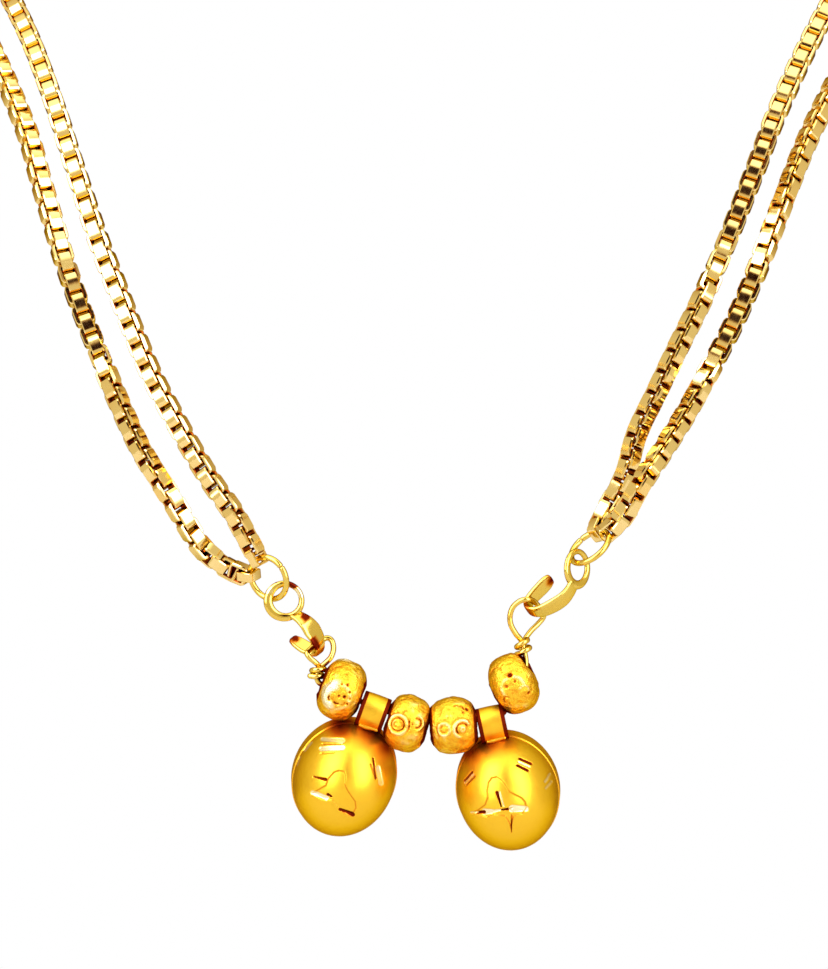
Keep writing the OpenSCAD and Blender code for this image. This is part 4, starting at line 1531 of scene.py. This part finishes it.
def cup_rows():
    """Rings of a cup from the outside of its tip to the inside: inset from the mouth's size, depth,
    and angle up the dome."""
    vati = bpy.context.scene.mangalsutra.vati
    band, step, wall, dome = (v / MM for v in (vati.band, vati.step, vati.wall, vati.dome))
    rows = []
    for t in np.linspace(89.4, 0, DOME_ROWS):
        rows.append((step, band + dome * math.sin(math.radians(t)), t))
    for a in (25, 50, 75, 90):
        a = math.radians(a)
        rows.append((step * (1 - math.sin(a)), band - step * (1 - math.cos(a)), 0))
    for depth in np.linspace(band - 2 * step, wall / 2, 9):
        rows.append((0, depth, 0))
    for a in np.linspace(0, 180, 9)[1:]:
        a = math.radians(a)
        rows.append((wall / 2 * (1 - math.cos(a)), wall / 2 * (1 - math.sin(a)), 0))
    for depth in np.linspace(wall / 2, band, 6)[1:]:
        rows.append((wall, depth, 0))
    for t in np.linspace(0, 88, 26)[1:]:
        rows.append((wall + step, band + (dome - wall) * math.sin(math.radians(t)), t))
    return rows


def from_segment(points, start, end):
    """Share of the way along a segment, and distance from it, for points in the front view."""
    way = end - start
    run = np.linalg.norm(way)
    way = way / run
    from_start = points - start
    along = from_start @ way / run
    past = np.maximum(np.abs(along - 0.5) - 0.5, 0) * run
    return along, np.hypot(from_start @ np.array([-way[1], way[0]]), past)


def cut_marks(front, cuts):
    """Depth and darkness of the engraved cuts at points of the front view, in mm."""
    depth, dark = np.zeros(front.shape[:-1]), np.zeros(front.shape[:-1])
    for cut in cuts:
        along, away = from_segment(front, px_to_mm(cut.start), px_to_mm(cut.end))
        half = (cut.wide_start + (cut.wide_end - cut.wide_start) * np.clip(along, 0, 1)) / 2
        away = away / half
        # A dark cut is a narrow groove with patina and painted shade; a bright one is a flat facet with
        # a painted highlight
        groove = np.clip(1.15 - away, 0, 1)
        facet = np.clip((1.2 - away) * 3, 0, 1)
        tint = np.clip((1.15 - away) * 4, 0, 1)
        depth = np.maximum(depth, groove if cut.dark > 0 else FACET_DEPTH * facet)
        dark = np.where(tint > 0, dark * (1 - tint) + cut.dark * tint, dark)
    return depth, dark


def star_share(front, outline):
    """How far points of the front view are inside an outline: 0 at its edge, 1 well inside."""
    corners = [px_to_mm(px) for px in outline]
    inside = np.zeros(front.shape[:-1], bool)
    nearest = np.full(front.shape[:-1], 1e9)
    for start, end in zip(corners, corners[1:] + corners[:1]):
        nearest = np.minimum(nearest, from_segment(front, start, end)[1])
        spans = (start[1] > front[..., 1]) != (end[1] > front[..., 1])
        slope = (end[0] - start[0]) / (end[1] - start[1] + 1e-12)
        inside ^= spans & (front[..., 0] < start[0] + slope * (front[..., 1] - start[1]))
    return np.where(inside, np.clip(nearest / STAR_EDGE, 0, 1), 0)


def cup_shell(side):
    """A deep cup with a rim band, its dome engraved, its tip towards the viewer."""
    vati = bpy.context.scene.mangalsutra.vati
    _, placing = vati_places(side)
    rows = np.array(cup_rows())
    inset, depth, t = rows.T
    around = round_angles(CUP_COLUMNS)
    shrink = np.cos(np.radians(t))
    half_w = (vati.wide / MM / 2 - inset) * shrink
    half_h = (vati.high / MM / 2 - inset) * shrink
    local = np.stack([
        half_w[:, None] * np.cos(around), -depth[:, None] * np.ones(CUP_COLUMNS),
        half_h[:, None] * np.sin(around),
    ], axis=-1)
    band, dome, step = vati.band / MM, vati.dome / MM, vati.step / MM
    squares = np.array([(vati.wide / MM / 2 - step) ** 2, dome**2, (vati.high / MM / 2 - step) ** 2])
    out = unit((local + np.array([0, band, 0])) / squares)
    front = place_points(placing, local)[..., [0, 2]]
    marks, dark = cut_marks(front, CUTS[side])
    star = star_share(front, STARS[side])
    on_dome = np.arange(len(rows)) < DOME_ROWS
    marks, dark, star = (values * on_dome[:, None] for values in (marks, dark, star))
    # Painted shade along the sloping edge of each sunk star
    dark = dark + STAR_OUTLINE_SHADE * 4 * star * (1 - star)
    star = star * star * (3 - 2 * star)
    local = local - out * (marks * vati.cut / MM + star * STAR_DEPTH)[..., None]
    # Painted shade in the step between dome and band, and inside the cup
    row = np.arange(len(rows))
    step_shade = np.clip(1 - np.abs(row - DOME_ROWS) / 2, 0, 1) * STEP_SHADE
    inside = (row > DOME_ROWS + BAND_ROWS) * CUP_INSIDE_SHADE
    # Painted shadow beside the bail and the beads
    shade = np.zeros(front.shape[:-1])
    for spot in SHADES[side]:
        away = np.linalg.norm(front - px_to_mm(spot.at_px), axis=-1)
        shade = np.maximum(shade, spot.dark * np.clip(1 - away / spot.radius, 0, 1))
    dark = np.clip(dark + (step_shade + inside)[:, None] + shade, -1, 1)
    return capped(place_points(placing, local), dark)


def bail_shells(side):
    """The tube bail, and the solder in the corner between it and the cup."""
    vati = bpy.context.scene.mangalsutra.vati
    placing, _ = vati_places(side)
    outer, inner, half = vati.bail / MM / 2, vati.bore / MM / 2, vati.bail_long / MM / 2
    edge, seam = BAIL_EDGE, BAIL_SEAM
    profile = [
        (outer, -half + edge), (outer, -half + seam), (outer + 0.01, -half + seam + 0.08),
        (outer + BAIL_CROWN, 0), (outer + 0.01, half - seam - 0.08), (outer, half - seam),
        (outer, half - edge), (outer - edge * 0.35, half - edge * 0.3), (outer - edge, half),
        (inner + edge, half), (inner + edge * 0.3, half - edge * 0.3), (inner, half - edge),
        (inner, 0), (inner, -half + edge), (inner + edge * 0.3, -half + edge * 0.3),
        (inner + edge, -half), (outer - edge, -half), (outer - edge * 0.35, -half + edge * 0.3),
    ]
    rows = np.array([
        [(x, radius * math.cos(a), radius * math.sin(a)) for a in round_angles(BAIL_AROUND)]
        for radius, x in profile
    ])
    # Painted shade in the bore and on the ends; the outside is left bright
    dark = np.ones(len(profile))
    dark[1:6] = (0.9, 0.12, 0.0, 0.12, 0.9)
    bail = closed_ring(place_points(placing, rows), dark[:, None] * np.ones(BAIL_AROUND))
    line = np.array([
        np.array(SOLDER_AT) + np.array([x, 0.04 * math.cos(2.4 * x), 0.05 * math.sin(3 * x)])
        for x in np.linspace(-SOLDER_SHARE, SOLDER_SHARE, 25) * half
    ])
    swell = SOLDER_THICK * (0.85 + 0.15 * np.cos(np.linspace(-3, 3, len(line))))
    solder = tube(line, sides_from(line, [0, 0, 1]), swell, swell, around=20)
    placed = place_points(placing, solder.points)
    return [bail, solder._replace(points=placed, cut=solder.cut + SOLDER_DARK)]


class MANGALSUTRA_OT_vatis(Operator):
    """Make the two vatis, each a domed cup soldered to its tube bail"""
    bl_idname = "mangalsutra.vatis"
    bl_label = "Vatis"

    def execute(self, context):
        gold = cup_gold()
        for side in VATIS:
            name = "vati_" + side
            mesh = make_mesh(name, [cup_shell(side)] + bail_shells(side))
            make_piece(name + "_cup", mesh, gold, name, name)
        return {"FINISHED"}


# Stage

# Soft boxes and dark flags round the object: azimuth from the viewer, to the right, elevation, half
# width and half height as tangents, softness of the border, and brightness added
Lamp = namedtuple("Lamp", "azimuth elevation half_wide half_high soft brightness")
LAMPS = {
    "left box": Lamp(-46, 28, 0.34, 0.6, 0.1, 4.2),
    "right box": Lamp(44, 20, 0.3, 0.6, 0.1, 3.8),
    "top box": Lamp(0, 84, 0.5, 0.5, 0.3, 1.0),
    "front flag": Lamp(0, 34, 0.13, 0.42, 0.06, -0.72),
}
# The tent's tint by its brightness, from its dark flags to its white walls, and the boxes' cool one
DUSK = [
    (0.0, (1.0, 0.15, 0.05)), (0.35, (1.0, 0.55, 0.25)), (0.7, (1.0, 0.88, 0.75)),
    (1.0, (1.0, 1.0, 0.98)),
]
BOX_TINT = (1.0, 1.0, 1.5)
# The tent is dimmer behind the object, by this much from this share of the way back
BEHIND_DIM = 0.22
BEHIND_FROM = 0.25
# The boxes' tint comes in from this brightness
BOX_FROM = 1.3
FLOOR_CORNERS = 128


def sky(scene):
    """White behind the object, and round it soft boxes in a pale tent for its reflections."""
    world = bpy.data.worlds.new("soft studio")
    scene.world = world
    world.use_nodes = True
    tree = Tree(world.node_tree)
    direction = tree.value("ShaderNodeTexCoord", output="Generated")

    def reach(way):
        """How far the direction goes along a way."""
        return tree.dot(direction, tuple(way))

    behind = ((reach((0, 1, 0)) - BEHIND_FROM) * 1.5).clamped()
    brightness = scene.mangalsutra.stage.fill - BEHIND_DIM * behind
    for lamp in LAMPS.values():
        azimuth, elevation = math.radians(lamp.azimuth), math.radians(lamp.elevation)
        facing = np.array([
            math.sin(azimuth) * math.cos(elevation), -math.cos(azimuth) * math.cos(elevation),
            math.sin(elevation),
        ])
        beside = np.array([math.cos(azimuth), math.sin(azimuth), 0])
        upwards = np.cross(beside, facing)
        ahead = reach(facing)
        x, y = abs(reach(beside) / ahead), abs(reach(upwards) / ahead)
        in_width = ((lamp.half_wide - x) / lamp.soft + 0.5).clamped()
        in_height = ((lamp.half_high - y) / lamp.soft + 0.5).clamped()
        in_front = (ahead * 100).clamped()
        brightness = brightness + in_width * in_height * in_front * lamp.brightness
    tint = tree.value("ShaderNodeValToRGB", {"stops": DUSK}, {0: brightness})
    tint = tree.mix(((brightness - BOX_FROM) / 2).clamped(), tint, BOX_TINT)
    glow = tree.value("ShaderNodeBackground", sockets={"Color": tint, "Strength": brightness})
    white = tree.value("ShaderNodeBackground", sockets={"Color": (1, 1, 1, 1), "Strength": 1.0})
    seen = tree.value("ShaderNodeLightPath", output="Is Camera Ray")
    both = tree.value("ShaderNodeMixShader", sockets={0: seen, 1: glow, 2: white})
    tree.node("ShaderNodeOutputWorld", sockets={"Surface": both})


def camera(scene):
    """Straight in front of the object, far enough away to see it without perspective."""
    distance = scene.mangalsutra.stage.distance
    middle = px_to_mm((PHOTO_WIDE / 2, PHOTO_HIGH / 2)) * MM
    eye = bpy.data.cameras.new("front camera")
    eye.sensor_width = 36
    eye.lens = eye.sensor_width * distance / (PHOTO_HIGH / PX_PER_MM * MM)
    eye.clip_end = 3 * distance
    holder = bpy.data.objects.new("front camera", eye)
    holder.location = (middle[0], FRONT_Y * MM - distance, middle[1])
    holder.rotation_euler = (math.pi / 2, 0, 0)
    scene.collection.objects.link(holder)
    scene.camera = holder


def floor(scene):
    """A plain pale disc below the object."""
    stage = scene.mangalsutra.stage
    height = cad_box[0].z - stage.drop
    middle = ((cad_box[0].x + cad_box[1].x) / 2, (cad_box[0].y + cad_box[1].y) / 2)
    mesh = bpy.data.meshes.new("floor")
    points = [
        (middle[0] + stage.radius * math.cos(a), middle[1] + stage.radius * math.sin(a), height)
        for a in round_angles(FLOOR_CORNERS)
    ]
    mesh.from_pydata(points, [], [tuple(range(FLOOR_CORNERS))])
    mesh.materials.append(floor_paper())
    disc = bpy.data.objects.new("floor", mesh)
    scene.collection.objects.link(disc)


class MANGALSUTRA_OT_stage(Operator):
    """Set up the floor, the soft studio light and the camera"""
    bl_idname = "mangalsutra.stage"
    bl_label = "Stage"

    def execute(self, context):
        scene = context.scene
        floor(scene)
        sky(scene)
        camera(scene)
        scene.view_settings.view_transform = "Standard"
        return {"FINISHED"}


class MANGALSUTRA_PT_panel(Panel):
    """Buttons that make the mangalsutra's pieces, in the order of their making"""
    bl_idname = "MANGALSUTRA_PT_panel"
    bl_label = "Mangalsutra"
    bl_space_type = "VIEW_3D"
    bl_region_type = "UI"
    bl_category = "Mangalsutra"

    def draw(self, context):
        for maker in OPERATORS:
            self.layout.operator(maker.bl_idname)
        settings = context.scene.mangalsutra
        for group in ("chain", "ring", "hook", "wire", "bead", "vati", "gold", "stage"):
            box = self.layout.box()
            box.label(text=group.capitalize())
            values = getattr(settings, group)
            for name in values.__annotations__:
                box.prop(values, name)


SETTINGS = (
    ChainSettings, RingSettings, HookSettings, WireSettings, BeadSettings, VatiSettings,
    GoldSettings, StageSettings, MangalsutraSettings,
)
OPERATORS = (
    MANGALSUTRA_OT_chains, MANGALSUTRA_OT_end_links, MANGALSUTRA_OT_jump_rings,
    MANGALSUTRA_OT_hooks, MANGALSUTRA_OT_bead_wire, MANGALSUTRA_OT_beads,
    MANGALSUTRA_OT_vatis, MANGALSUTRA_OT_stage,
)


def register():
    for cls in SETTINGS + OPERATORS + (MANGALSUTRA_PT_panel,):
        bpy.utils.register_class(cls)
    bpy.types.Scene.mangalsutra = PointerProperty(type=MangalsutraSettings)


def unregister():
    del bpy.types.Scene.mangalsutra
    for cls in reversed(SETTINGS + OPERATORS + (MANGALSUTRA_PT_panel,)):
        bpy.utils.unregister_class(cls)


def main():
    register()
    for maker in OPERATORS:
        group, name = maker.bl_idname.split(".")
        getattr(getattr(bpy.ops, group), name)()


if __name__ == "__main__":
    main()
